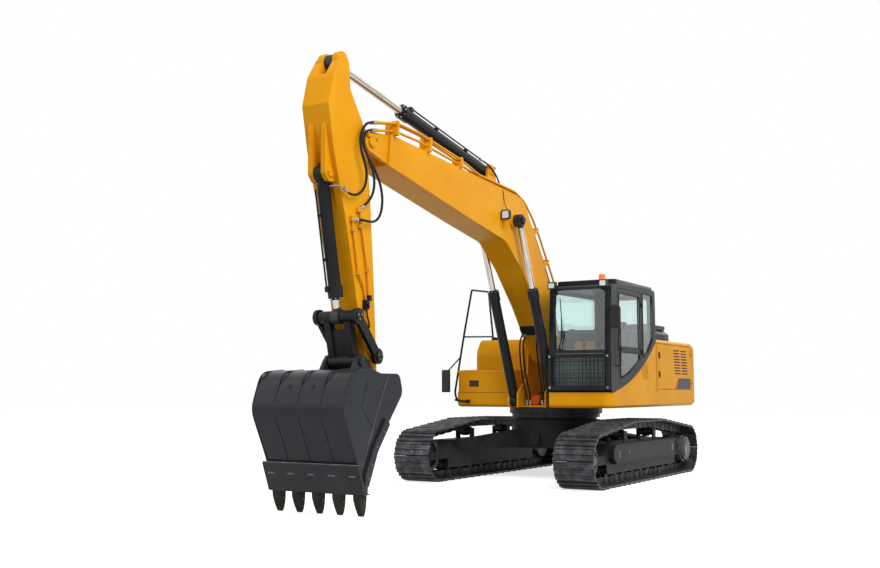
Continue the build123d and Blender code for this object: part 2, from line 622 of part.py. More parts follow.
def side_region(y_high, depth, mode, drop=0.0):
    """Region below the swept cab band, lowered by drop, cut or filled inwards from a side plane."""
    front, middle, rear = [(x - drop, z - drop) for x, z in (SWEEP_FRONT, SWEEP_MIDDLE, SWEEP_REAR)]
    with BuildSketch(side_plane(y_high)) as region:
        with BuildLine():
            ThreePointArc(front, middle, rear)
            Polyline(rear, (rear[0], CAB_FLOOR_Z), (front[0], CAB_FLOOR_Z), front)
        make_face()
    extrude(region.sketch, amount=depth, mode=mode)


def window(y_low, y_high, z_low, z_high, x_from, x_to, radius, mode):
    """Rounded rectangular pane or opening in a wall across X."""
    with BuildSketch(Plane(origin=(x_from, (y_low + y_high) / 2, (z_low + z_high) / 2),
                           x_dir=(0, 1, 0), z_dir=(1, 0, 0))) as pane:
        RectangleRounded(y_high - y_low, z_high - z_low, radius)
    extrude(pane.sketch, amount=x_to - x_from, mode=mode)


def cab_shell():
    """Hollow cab: floor, pillars and roof with every window and the door opening cut."""
    with BuildPart() as shell:
        plate(CAB_PROFILE, CAB_INNER_Y, HALF_WIDTH)
        plate(CAB_HOLLOW, CAB_INNER_Y + CAB_WALL, HALF_WIDTH - CAB_WALL, mode=Mode.SUBTRACT)
        plate(RIGHT_WINDOW, CAB_INNER_Y - 1, CAB_INNER_Y + CAB_WALL + 1, mode=Mode.SUBTRACT)
        plate(QUARTER_WINDOW, HALF_WIDTH - CAB_WALL - 1, HALF_WIDTH + 1, mode=Mode.SUBTRACT)
        plate(DOOR_OPENING, HALF_WIDTH - CAB_WALL - 1, HALF_WIDTH + 1, mode=Mode.SUBTRACT)
        window(*FRONT_WINDOW, 1000, DECK_FRONT_X + 5, 90, Mode.SUBTRACT)
        window(*REAR_WINDOW, CAB_REAR_X - 1, CAB_REAR_X + CAB_WALL + 1, 70, Mode.SUBTRACT)
        side_region(HALF_WIDTH + 1, PANEL + 1 + SEAT, Mode.SUBTRACT)
        hinge(CAB_HINGE_AXIS, hinge_ranges(CAB_HINGES, HINGE_HALF, False),
              (CAB_HINGE_AXIS[0] - 25, HALF_WIDTH - 1))
    return shell.part


def side_panel():
    """Painted panel below the swept band: it fills the recess of the cab's left wall."""
    with BuildPart() as panel:
        side_region(HALF_WIDTH, PANEL, Mode.ADD, SEAT)
        for i in range(5):
            x = -360 + i * 58
            slot = ((x, 1790, 0), (x - 45, 1530, 0), (x - 20, 1530, 0), (x + 25, 1790, 0))
            plate(slot, HALF_WIDTH - PANEL - 1, HALF_WIDTH + 1, mode=Mode.SUBTRACT)
        plate(inset(DOOR_OPENING, -1), HALF_WIDTH - PANEL - 1, HALF_WIDTH + 1, mode=Mode.SUBTRACT)
    return panel.part


def cab_glass():
    """Fixed panes: front, right side, rear and left quarter, each set in its opening."""
    with BuildPart() as glass:
        plate(inset(RIGHT_WINDOW, SEAT), CAB_INNER_Y + 12, CAB_INNER_Y + 12 + GLASS)
        plate(inset(QUARTER_WINDOW, SEAT), HALF_WIDTH - 12 - GLASS, HALF_WIDTH - 12)
        y_low, y_high, z_low, z_high = FRONT_WINDOW
        window(y_low + SEAT, y_high - SEAT, z_low + SEAT, z_high - SEAT,
               DECK_FRONT_X - 45, DECK_FRONT_X - 45 + GLASS, 90, Mode.ADD)
        y_low, y_high, z_low, z_high = REAR_WINDOW
        window(y_low + SEAT, y_high - SEAT, z_low + SEAT, z_high - SEAT,
               CAB_REAR_X + 12, CAB_REAR_X + 12 + GLASS, 70, Mode.ADD)
    return glass.part


def cab_door():
    """Framed door with an upper and a lower window, hinged at its rear edge."""
    with BuildPart() as door:
        plate(inset(DOOR_OPENING, DOOR_GAP), HALF_WIDTH - DOOR_THICKNESS, HALF_WIDTH)
        for opening in (DOOR_UPPER_WINDOW, DOOR_LOWER_WINDOW):
            plate(opening, HALF_WIDTH - DOOR_THICKNESS - 1, HALF_WIDTH + 1, mode=Mode.SUBTRACT)
        hinge(CAB_HINGE_AXIS, hinge_ranges(CAB_HINGES, HINGE_HALF, True),
              (CAB_HINGE_AXIS[0] + 60, HALF_WIDTH + SEAT), 30)
    return door.part


def door_glass():
    """The door's two panes."""
    with BuildPart() as glass:
        for opening in (DOOR_UPPER_WINDOW, DOOR_LOWER_WINDOW):
            plate(inset(opening, SEAT), HALF_WIDTH - 12 - GLASS, HALF_WIDTH - 12)
    return glass.part


def front_guard():
    """Frame of the lower front guard, standing off the cab on four pads."""
    with BuildPart() as guard:
        face = DECK_FRONT_X - 4 + SEAT
        window(CAB_INNER_Y, HALF_WIDTH - 10, 1365, 1895, face + 14, face + 44, 10, Mode.ADD)
        window(CAB_INNER_Y + 55, HALF_WIDTH - 65, 1420, 1850, face + 10, face + 50, 10, Mode.SUBTRACT)
        for i in range(1, 14):
            y = CAB_INNER_Y + 55 + i * (HALF_WIDTH - 120 - CAB_INNER_Y) / 14
            box(face + 24, face + 32, y - 4, y + 4, 1419, 1851)
        for i in range(1, 7):
            z = 1420 + i * 430 / 7
            box(face + 24, face + 32, CAB_INNER_Y + 54, HALF_WIDTH - 64, z - 4, z + 4)
        for y in (CAB_INNER_Y + 28, HALF_WIDTH - 38):
            for z in (1410, 1850):
                box(face, face + 15, y - 20, y + 20, z - 20, z + 20)
    return guard.part


def seat():
    """Suspension base, cushion, backrest and headrest."""
    y = (CAB_INNER_Y + HALF_WIDTH) / 2
    floor = CAB_FLOOR_Z + 50 + SEAT
    with BuildPart() as chair:
        box(-330, 130, y - 200, y + 200, floor, floor + 230)
        cushion = ((-360, floor + 229, 0), (-360, floor + 330, 40), (180, floor + 370, 60), (200, floor + 229, 40))
        plate(cushion, y - 255, y + 255)
        back = ((-330, floor + 300, 0), (-480, floor + 880, 50), (-360, floor + 900, 50), (-200, floor + 300, 0))
        plate(back, y - 245, y + 245)
        head = ((-490, floor + 900, 20), (-520, floor + 1080, 40), (-420, floor + 1090, 40), (-390, floor + 890, 0))
        plate(head, y - 130, y + 130)
    return chair.part


def controls():
    """Side consoles with joysticks, travel levers and the monitor."""
    y_mid = (CAB_INNER_Y + HALF_WIDTH) / 2
    floor = CAB_FLOOR_Z + 50 + SEAT
    with BuildPart() as set_of_controls:
        for side in (1, -1):
            y = y_mid + side * 345
            box(-300, 250, y - 60, y + 60, floor, floor + 420)
            box(150, 200, y - 22, y + 22, floor + 419, floor + 620)
        for side in (1, -1):
            y = y_mid + side * 90
            box(760, 790, y - 15, y + 15, floor, floor + 520)
            box(640, 880, y - 60, y + 60, floor, floor + 30)
        box(800, 850, CAB_INNER_Y + 70, CAB_INNER_Y + 110, floor, floor + 700)
        box(795, 835, CAB_INNER_Y + 62, CAB_INNER_Y + 260, floor + 600, floor + 760)
    return set_of_controls.part


def work_lights():
    """Two lamps on the cab's front roof corners, one on the boom side of the deck."""
    with BuildPart() as lamps:
        for y in (CAB_INNER_Y + 75, HALF_WIDTH - 90):
            box(1160, 1225, y - 60, y + 60, CAB_ROOF_Z - 110, CAB_ROOF_Z)
            foot = cab_roof_z(940) + SEAT
            box(940, 1161, y - 20, y + 20, foot, foot + 16)
    return lamps.part


def beacon():
    """Flashing beacon on a short stem."""
    with BuildPart() as light:
        centre = (300, HALF_WIDTH - 470)
        for radius, low, high in ((20, cab_roof_z(280) + SEAT, CAB_ROOF_Z + 40), (62, CAB_ROOF_Z + 39, CAB_ROOF_Z + 65),
                                  (55, CAB_ROOF_Z + 64, CAB_ROOF_Z + 175)):
            with BuildSketch(Plane.XY.offset(low)) as disc:
                with Locations(centre):
                    Circle(radius)
            extrude(disc.sketch, amount=high - low)
    return light.part


def cab_front_x(z):
    """Where the cab's slanted front wall stands at a height above its knee."""
    (x_high, z_high, _), (x_low, z_low, _) = CAB_PROFILE[3], CAB_PROFILE[4]
    return x_low + (x_high - x_low) * (z - z_low) / (z_high - z_low)


def cab_roof_z(x):
    """Height of the sloped roof."""
    (x_rear, z_rear, _), (x_front, z_front, _) = CAB_PROFILE[2], CAB_PROFILE[3]
    return z_rear + (z_front - z_rear) * (x - x_rear) / (x_front - x_rear)


def mirror_left():
    """Cab mirror on the left front pillar."""
    with BuildPart() as mirror:
        plate(((1190, 2190, 30), (1190, 2620, 40), (1260, 2620, 25), (1270, 2190, 25)), 1290, 1440)
        for z in (2230, 2560):
            box(cab_front_x(z) + SEAT, 1195, 1345, 1375, z, z + 30)
    return mirror.part


RAIL_TUBE = 17.0
RAIL_Y = -HALF_WIDTH - 25.0
# guard rail's line: x, z
RAIL_POINTS = ((350, 1190), (690, 1215), (740, 1330), (440, 2270), (170, 3040), (-430, 3060), (-640, 2000))


def handrail():
    """Tube guard rail at the right front: a tall loop with a cross tube, on three brackets."""
    with BuildPart() as rail:
        tube_path([(x, RAIL_Y, z) for x, z in RAIL_POINTS], RAIL_TUBE, 45)
        tube_path([(452, RAIL_Y, 2240), (-580, RAIL_Y, 2290)], 14, 0)
        for x, z in ((380, 1190), (640, 1210)):
            box(x - 30, x + 30, RAIL_Y, -HALF_WIDTH - SEAT, z - 25, z + 25)
        box(-660, -620, RAIL_Y, -1390 - SEAT, 2000, 2060)
        tube_path([(560, RAIL_Y, 1900), (893, RAIL_Y - 60, 1655)], 11, 0)
    return rail.part


def mirror_right():
    """Mirror on an arm outside the hand rail."""
    with BuildPart() as mirror:
        plate(((900, 1330, 20), (900, 1690, 30), (950, 1690, 20), (950, 1330, 20)), -1570, -1440)
    return mirror.part


# ---------------------------------------------------------------- cylinders
def barrel(base, eye, y, radius, bore, length, head_radius, head_length, rod_radius, eye_radius, eye_half, pin):
    """Cylinder barrel from its base eye (x, z) towards the rod eye, with a bored gland."""
    plane = axis_plane(base, eye, y)
    cross_bar(base, eye_radius, y - eye_half, y + eye_half)
    round_bar(plane, 0, eye_radius + NECK_LENGTH + 1, eye_half - 4)
    round_bar(plane, eye_radius + NECK_LENGTH, length, radius)
    round_bar(plane, length - head_length, length, head_radius)
    round_bar(plane, eye_radius + NECK_LENGTH + 10, length - head_length, bore, mode=Mode.SUBTRACT)
    round_bar(plane, length - head_length - 1, length + 1, rod_radius + GLAND_GAP, mode=Mode.SUBTRACT)
    cross_bar(base, pin + SEAT, y - eye_half - 1, y + eye_half + 1, mode=Mode.SUBTRACT)


def rod(base, eye, y, radius, length, eye_radius, eye_half, pin_half, pin, piston):
    """Rod from its eye (x, z) back towards the base, with a piston and the eye's own pin."""
    plane = axis_plane(eye, base, y)
    cross_bar(eye, eye_radius, y - eye_half, y + eye_half)
    cross_bar(eye, pin, y - pin_half, y + pin_half)
    round_bar(plane, eye_radius * 0.6, length, radius)
    round_bar(plane, length - PISTON_LENGTH, length, piston)


NECK_LENGTH = 24.0            # between the base eye and the full barrel
GLAND_GAP = 0.6               # around a rod in its gland, and a piston in its bore
PISTON_LENGTH = 70.0
BOOM_CYL = dict(radius=75.0, bore=70.0, length=1800.0, head_radius=87.0, head_length=150.0, rod_radius=45.0,
                eye_radius=85.0, eye_half=EYE_HALF, pin=38.0)
ARM_CYL = dict(radius=82.0, bore=76.0, length=2280.0, head_radius=97.0, head_length=160.0, rod_radius=50.0,
               eye_radius=95.0, eye_half=58.0, pin=40.0)
BUCKET_CYL = dict(radius=74.0, bore=64.0, length=1410.0, head_radius=88.0, head_length=140.0, rod_radius=43.0,
                  eye_radius=88.0, eye_half=55.0, pin=38.0)


def boom_cylinders():
    with BuildPart() as pair:
        for y in (BOOM_CYL_Y, -BOOM_CYL_Y):
            barrel(BOOM_CYL_BASE, BOOM_CYL_EYE, y, **BOOM_CYL)
    return pair.part


def boom_rods():
    with BuildPart() as pair:
        for y in (BOOM_CYL_Y, -BOOM_CYL_Y):
            rod(BOOM_CYL_BASE, BOOM_CYL_EYE, y, 45.0, 1840.0, 90.0, EYE_HALF, EYE_HALF + 12, 38.0,
                BOOM_CYL["bore"] - GLAND_GAP)
    return pair.part


def arm_cylinder():
    with BuildPart() as tube:
        barrel(ARM_CYL_BASE, ARM_CYL_EYE, 0, **ARM_CYL)
    return tube.part


def arm_rod():
    with BuildPart() as bar:
        rod(ARM_CYL_BASE, ARM_CYL_EYE, 0, 50.0, 2260.0, 92.0, 58.0, 60.0, 40.0, ARM_CYL["bore"] - GLAND_GAP)
    return bar.part


def bucket_cylinder():
    with BuildPart() as tube:
        barrel(BUCKET_CYL_BASE, LINK_TOP, 0, **BUCKET_CYL)
    return tube.part


def bucket_rod():
    with BuildPart() as bar:
        rod(BUCKET_CYL_BASE, LINK_TOP, 0, 43.0, 1390.0, 85.0, 55.0, 57.0, 38.0, BUCKET_CYL["bore"] - GLAND_GAP)
    return bar.part


# ---------------------------------------------------------------- boom, arm, bucket
EAR_RADIUS = 122.0
FORK_INNER = 130.0
FORK_OUTER = 182.0
# side plates of the boom: x, z, corner radius
BOOM = (
    (185, 1986, 0), (870, 3040, 0), (1656, 4235, 350), (3000, 4312, 0), (5160, 4440, 0),
    (5200, 4050, 0), (3200, 3690, 900), (2146, 3516, 400), (1650, 3160, 900), (1110, 2640, 900),
    (620, 2060, 900), (435, 1823, 0),
)


def boom():
    """Cranked boom: box section, forked tip, foot boss and cylinder brackets."""
    with BuildPart() as beam:
        plate(BOOM, -BOOM_HALF_WIDTH, BOOM_HALF_WIDTH)
        cross_bar(BOOM_FOOT, 150, -BOOM_HALF_WIDTH, BOOM_HALF_WIDTH)
        cross_bar(BOOM_FOOT, 50 + SEAT, -BOOM_HALF_WIDTH - 1, BOOM_HALF_WIDTH + 1, mode=Mode.SUBTRACT)
        tip = ((5120, 4436, 0), (BOOM_TIP[0], BOOM_TIP[1] + EAR_RADIUS, 0), shifted(BOOM_TIP, 0, -EAR_RADIUS, 0),
               (5150, 4060, 0))
        for side in (1, -1):
            low, high = sorted((side * FORK_INNER, side * FORK_OUTER))
            plate(tip, low, high)
            cross_bar(BOOM_TIP, EAR_RADIUS, low, high)
        cross_bar(BOOM_TIP, 45, -FORK_OUTER - 12, FORK_OUTER + 12)
        for side in (1, -1):
            cross_bar(BOOM_CYL_EYE, 105, *sorted((side * 200, side * (BOOM_CYL_Y - EYE_HALF - 12 - PIN_GAP))))
            cross_bar(BOOM_TIP, 68, *sorted((side * FORK_OUTER, side * (FORK_OUTER + 14))))
            ear = (shifted(ARM_CYL_BASE, -230, -300, 0), shifted(ARM_CYL_BASE, -95, 30, 60),
                   shifted(ARM_CYL_BASE, -40, 100, 60), shifted(ARM_CYL_BASE, 95, 100, 85),
                   shifted(ARM_CYL_BASE, 105, -90, 120), shifted(ARM_CYL_BASE, 230, -300, 0))
            low, high = sorted((side * (ARM_CYL["eye_half"] + PIN_GAP), side * (ARM_CYL["eye_half"] + PIN_GAP + 35)))
            plate(ear, low, high)
        cross_bar(ARM_CYL_BASE, 40, -ARM_CYL["eye_half"] - 20, ARM_CYL["eye_half"] + 20)
    return beam.part


# side plates of the arm: x, z, corner radius
ARM_BOX = (
    (5990, 5120, 60), (6110, 5180, 60), (6290, 4900, 200), (6375, 4550, 60), (6270, 4050, 600), (6010, 3220, 2000),
    (5770, 2250, 900), (5630, 1780, 500), (5590, 1420, 0), (5500, 1290, 0), (5390, 1400, 0), (5400, 1700, 0),
    (5470, 2700, 3000),
    (5550, 3600, 600), (5610, 4080, 200), (5700, 4450, 300), (5960, 4800, 60),
)
ARM_TIP_HALF = ARM_HALF_WIDTH + PIN_GAP


def arm():
    """Box-section arm with its pivot boss, cylinder ears and the bucket boss."""
    with BuildPart() as stick:
        plate(ARM_BOX, -ARM_HALF_WIDTH, ARM_HALF_WIDTH)
        cross_bar(BUCKET_PIVOT, 126, -ARM_TIP_HALF, ARM_TIP_HALF)
        for side in (1, -1):
            outer = sorted((side * (FORK_INNER - 8), side * (ARM_HALF_WIDTH + 1)))
            cross_bar(BOOM_TIP, EAR_RADIUS + 30, outer[0], outer[1], mode=Mode.SUBTRACT)
        boss = (shifted(BOOM_TIP, 0, EAR_RADIUS, 0), (5800, 4600, 0), (5800, 3950, 0), shifted(BOOM_TIP, 0, -EAR_RADIUS, 0))
        plate(boss, -FORK_INNER + 8, FORK_INNER - 8)
        cross_bar(BOOM_TIP, EAR_RADIUS, -FORK_INNER + 8, FORK_INNER - 8)
        cross_bar(BOOM_TIP, 45 + SEAT, -FORK_INNER, FORK_INNER, mode=Mode.SUBTRACT)
        box(5700, 6400, -68, 68, ARM_CYL_EYE[1] - 195, 5300, mode=Mode.SUBTRACT)
        recess = (shifted(BUCKET_CYL_BASE, -96, 130, 60), shifted(BUCKET_CYL_BASE, -98, -20, 0),
                  shifted(BUCKET_CYL_BASE, -225, -620, 0), shifted(BUCKET_CYL_BASE, 300, -620, 0),
                  shifted(BUCKET_CYL_BASE, 300, 130, 0))
        plate(recess, -84, 84, mode=Mode.SUBTRACT)
        for side in (1, -1):
            low, high = sorted((side * 68, side * 140))
            cross_bar(ARM_CYL_EYE, 112, low, high)
            ears = sorted((side * (BUCKET_CYL["eye_half"] + PIN_GAP), side * (BUCKET_CYL["eye_half"] + PIN_GAP + 60)))
            flange = (shifted(BUCKET_CYL_BASE, 40, 780, 0), shifted(BUCKET_CYL_BASE, 105, 500, 200),
                      shifted(BUCKET_CYL_BASE, 98, -20, 60), shifted(BUCKET_CYL_BASE, 30, -100, 60),
                      shifted(BUCKET_CYL_BASE, -60, -100, 60), shifted(BUCKET_CYL_BASE, -190, 60, 0),
                      shifted(BUCKET_CYL_BASE, -100, 600, 0))
            plate(flange, ears[0], ears[1])
            cross_bar(ROCKER_PIVOT, 90, *sorted((side * 120, side * ARM_TIP_HALF)))
            cross_bar(ROCKER_PIVOT, 52, *sorted((side * 120, side * (ROCKER_INNER - PIN_GAP))))
        cross_bar(BUCKET_CYL_BASE, 38, -BUCKET_CYL["eye_half"] - 20, BUCKET_CYL["eye_half"] + 20)
        cross_bar(ROCKER_PIVOT, 40, -ROCKER_OUTER - 4, ROCKER_OUTER + 4)
        cross_bar(BUCKET_PIVOT, 45 + SEAT, -ARM_TIP_HALF - 1, ARM_TIP_HALF + 1, mode=Mode.SUBTRACT)
    return stick.part


EAR_PLATE_INNER = ARM_HALF_WIDTH + 2 * PIN_GAP
EAR_PLATE_OUTER = EAR_PLATE_INNER + 42.0
ROCKER_INNER = EAR_PLATE_OUTER + 2 * PIN_GAP
ROCKER_OUTER = ROCKER_INNER + 48.0


def rocker_links():
    """Pair of rocker arms outside the arm."""
    with BuildPart() as rockers:
        plane = axis_plane(ROCKER_PIVOT, LINK_TOP)
        length = distance(ROCKER_PIVOT, LINK_TOP)
        for side in (1, -1):
            low, high = sorted((side * ROCKER_INNER, side * ROCKER_OUTER))
            for centre in (ROCKER_PIVOT, LINK_TOP):
                cross_bar(centre, 92, low, high)
            with BuildSketch(plane.offset(60)) as section:
                with Locations(((low + high) / 2, 0)):
                    Rectangle(high - low, 116)
            extrude(section.sketch, amount=length - 120)
            cross_bar(ROCKER_PIVOT, 40 + SEAT, low - 1, high + 1, mode=Mode.SUBTRACT)
    return rockers.part


LINK_OUTER = ROCKER_INNER - PIN_GAP


def bucket_link():
    """H-shaped link: two side arms, a web plate and the lower tube between the ears."""
    with BuildPart() as link:
        plane = axis_plane(LINK_TOP, BUCKET_EAR)
        length = distance(LINK_TOP, BUCKET_EAR)
        for side in (1, -1):
            low, high = sorted((side * (BUCKET_CYL["eye_half"] + 2 + PIN_GAP), side * LINK_OUTER))
            cross_bar(LINK_TOP, 70, low, high)
            with BuildSketch(plane.offset(40)) as section:
                with Locations((side * 140, 0)):
                    Rectangle(80, 96)
            extrude(section.sketch, amount=length - 80)
        with BuildSketch(plane.offset(150)) as web:
            Rectangle(250, 40)
        extrude(web.sketch, amount=length - 190)
        cross_bar(BUCKET_EAR, 74, -EAR_PLATE_INNER + PIN_GAP, EAR_PLATE_INNER - PIN_GAP)
        cross_bar(BUCKET_EAR, 40 + SEAT, -EAR_PLATE_INNER, EAR_PLATE_INNER, mode=Mode.SUBTRACT)
    return link.part


BUCKET_HALF_WIDTH = 620.0
BUCKET_PLATE = 24.0
LIP_BOTTOM_Z = 250.0
# side plate of the bucket: x, z, corner radius
BUCKET_SIDE = (
    (5570, 1545, 90), (5500, 1330, 130), (5800, 985, 0), (6030, 700, 0), (6225, 290, 0), (6262, 290, 0),
    (6390, 620, 300), (6655, 1150, 220), (6500, 1560, 330), (6130, 1595, 200), (5950, 1545, 200),
)
# shell of the bucket, outer face, from the lip round the back to the throat: x, z, corner radius
BUCKET_SHELL = (
    (6262, 290, 0), (6390, 620, 300), (6655, 1150, 220), (6500, 1560, 330), (6120, 1590, 200), (5600, 1215, 0),
)


def bucket():
    """General-purpose bucket: side plates, a rolled shell, the lip and the hanger ears."""
    with BuildPart() as pail:
        for side in (1, -1):
            low, high = sorted((side * (BUCKET_HALF_WIDTH - BUCKET_PLATE), side * BUCKET_HALF_WIDTH))
            plate(BUCKET_SIDE, low, high)
            ear = ((5500, 1290, 0), (5405, 1370, 60), (5420, 1490, 90), (5690, 1745, 90), (5790, 1775, 60),
                   (5870, 1700, 60), (5960, 1560, 0), (6120, 1560, 0), (5640, 1225, 0))
            low, high = sorted((side * EAR_PLATE_INNER, side * EAR_PLATE_OUTER))
            plate(ear, low, high)
            cross_bar(BUCKET_PIVOT, 100, low, high)
            cross_bar(BUCKET_EAR, 85, low, high)
        with BuildSketch(side_plane(BUCKET_HALF_WIDTH - 1)) as shell:
            with BuildLine() as line:
                FilletPolyline(*[(x, z) for x, z, _ in BUCKET_SHELL], radius=[r for _, _, r in BUCKET_SHELL[1:-1]])
                offset(amount=BUCKET_PLATE, side=Side.LEFT, kind=Kind.INTERSECTION)
            make_face()
        extrude(shell.sketch, amount=2 * BUCKET_HALF_WIDTH - 2)
        box(6190, 6275, -BUCKET_HALF_WIDTH - 6, BUCKET_HALF_WIDTH + 6, LIP_BOTTOM_Z, 330)
        cross_bar(BUCKET_PIVOT, 45, -EAR_PLATE_OUTER - 10, EAR_PLATE_OUTER + 10)
        cross_bar(BUCKET_EAR, 40, -EAR_PLATE_OUTER - 10, EAR_PLATE_OUTER + 10)
    return pail.part


TOOTH_COUNT = 5
TOOTH_SPACING = 275.0


def bucket_teeth():
    """Adapters and pointed teeth along the lip."""
    with BuildPart() as teeth:
        for i in range(TOOTH_COUNT):
            y = (i - (TOOTH_COUNT - 1) / 2) * TOOTH_SPACING
            tooth = ((6175, LIP_BOTTOM_Z - SEAT, 0), (6290, LIP_BOTTOM_Z - SEAT, 0), (6285, 160, 0), (6225, 20, 0), (6185, 20, 0), (6165, 160, 0))
            plate(tooth, y - 45, y + 45)
    return teeth.part


PIECES = (
    ("track_left", lambda: track(TRACK_YS[0])),
    ("track_right", lambda: track(TRACK_YS[1])),
    ("idlers", idlers),
    ("sprockets", sprockets),
    ("track_rollers", lambda: rollers(ROLLER_XS, ROLLER_Z, ROLLER_RADIUS)),
    ("carrier_rollers", lambda: rollers(CARRIER_XS, CARRIER_Z, CARRIER_RADIUS)),
    ("track_frame_left", lambda: track_frame(TRACK_YS[0])),
    ("track_frame_right", lambda: track_frame(TRACK_YS[1])),
    ("carbody", carbody),
    ("swing_ring", swing_ring),
    ("main_frame", main_frame),
    ("left_deck", lambda: deck(CAB_INNER_Y - 5, HALF_WIDTH, DECK_FRONT_X, 120)),
    ("right_deck", lambda: deck(-445, -HALF_WIDTH, BEAM_FRONT_X, 60)),
    ("counterweight", counterweight),
    ("body_shell", body_shell),
    ("left_service_door", lambda: side_door(1, LEFT_DOOR_FRONT_X)),
    ("right_pump_door", lambda: side_door(-1, RIGHT_DOOR_FRONT_X)),
    ("engine_block", engine_block),
    ("engine_hood", engine_hood),
    ("exhaust_stack", exhaust_stack),
    ("fuel_tank", fuel_tank),
    ("hydraulic_tank", hydraulic_tank),
    ("tool_box", tool_box),
    ("tool_box_lid", tool_box_lid),
    ("cab_shell", cab_shell),
    ("side_panel", side_panel),
    ("cab_glass", cab_glass),
    ("cab_door", cab_door),
    ("door_glass", door_glass),
    ("front_guard", front_guard),
    ("seat", seat),
    ("controls", controls),
    ("work_lights", work_lights),
    ("beacon", beacon),
    ("mirror_left", mirror_left),
    ("mirror_right", mirror_right),
    ("handrail", handrail),
    ("boom", boom),
    ("boom_cylinders", boom_cylinders),
    ("boom_rods", boom_rods),
    ("arm_cylinder", arm_cylinder),
    ("arm_rod", arm_rod),
    ("arm", arm),
    ("bucket_cylinder", bucket_cylinder),
    ("bucket_rod", bucket_rod),
    ("rocker_links", rocker_links),
    ("bucket_link", bucket_link),
    ("bucket", bucket),
    ("bucket_teeth", bucket_teeth),
)
for name, make in PIECES:
    save(make(), name)
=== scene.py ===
"""Crawler excavator: finishes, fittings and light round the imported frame.

Everything is in metres.  Shapes are written about the swing axis, +X towards the
boom, +Y to the cab side, +Z up, and placed() moves them into the frame's axes.
Outlines across the machine's width are (x, z), those across its length (y, z).
Order: finishes, shape helpers, then tracks, boom, hoses, arm, cylinders, cab,
seat, house, undercarriage, bucket, and last the stage, lights and camera.
"""

import json
import math

import bpy
import numpy as np
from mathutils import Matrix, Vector

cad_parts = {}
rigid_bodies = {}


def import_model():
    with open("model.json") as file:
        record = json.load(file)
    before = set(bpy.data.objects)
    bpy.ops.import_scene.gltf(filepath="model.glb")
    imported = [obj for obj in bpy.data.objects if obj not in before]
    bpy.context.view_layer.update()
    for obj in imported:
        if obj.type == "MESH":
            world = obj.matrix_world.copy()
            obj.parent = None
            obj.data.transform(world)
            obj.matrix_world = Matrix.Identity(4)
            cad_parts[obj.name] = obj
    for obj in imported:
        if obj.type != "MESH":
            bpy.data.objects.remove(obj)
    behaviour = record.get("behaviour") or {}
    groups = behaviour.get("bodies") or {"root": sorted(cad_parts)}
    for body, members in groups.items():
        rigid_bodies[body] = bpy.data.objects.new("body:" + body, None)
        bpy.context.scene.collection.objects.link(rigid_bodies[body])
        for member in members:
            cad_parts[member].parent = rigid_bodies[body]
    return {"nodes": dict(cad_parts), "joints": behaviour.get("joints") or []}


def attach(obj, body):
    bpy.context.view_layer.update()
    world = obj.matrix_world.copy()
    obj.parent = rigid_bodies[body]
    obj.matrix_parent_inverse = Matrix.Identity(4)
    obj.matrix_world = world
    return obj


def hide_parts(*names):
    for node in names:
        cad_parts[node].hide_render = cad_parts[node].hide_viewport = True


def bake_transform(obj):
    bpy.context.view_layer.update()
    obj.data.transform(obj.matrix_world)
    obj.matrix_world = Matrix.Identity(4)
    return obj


for leftover in list(bpy.data.objects):
    bpy.data.objects.remove(leftover)

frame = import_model()
joints = {joint["name"]: joint for joint in frame["joints"]}
SWING_X = joints["swing"]["pos_m"][0]
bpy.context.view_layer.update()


# ------------------------------------------------------------------ shader values
class Wire:
    """One value or colour in a finish.  Sums and comparisons written with it add Math nodes."""

    def __init__(self, finish, socket):
        self.finish = finish
        self.socket = socket

    def maths(self, operation, first, second):
        """A Math node on two values or wires."""
        return self.finish.node("ShaderNodeMath", {"operation": operation}, {0: first, 1: second})

    def __add__(self, other):
        return self.maths("ADD", self, other)

    def __radd__(self, other):
        return self.maths("ADD", other, self)

    def __sub__(self, other):
        return self.maths("SUBTRACT", self, other)

    def __rsub__(self, other):
        return self.maths("SUBTRACT", other, self)

    def __mul__(self, other):
        return self.maths("MULTIPLY", self, other)

    def __rmul__(self, other):
        return self.maths("MULTIPLY", other, self)

    def __lt__(self, other):
        return self.maths("LESS_THAN", self, other)


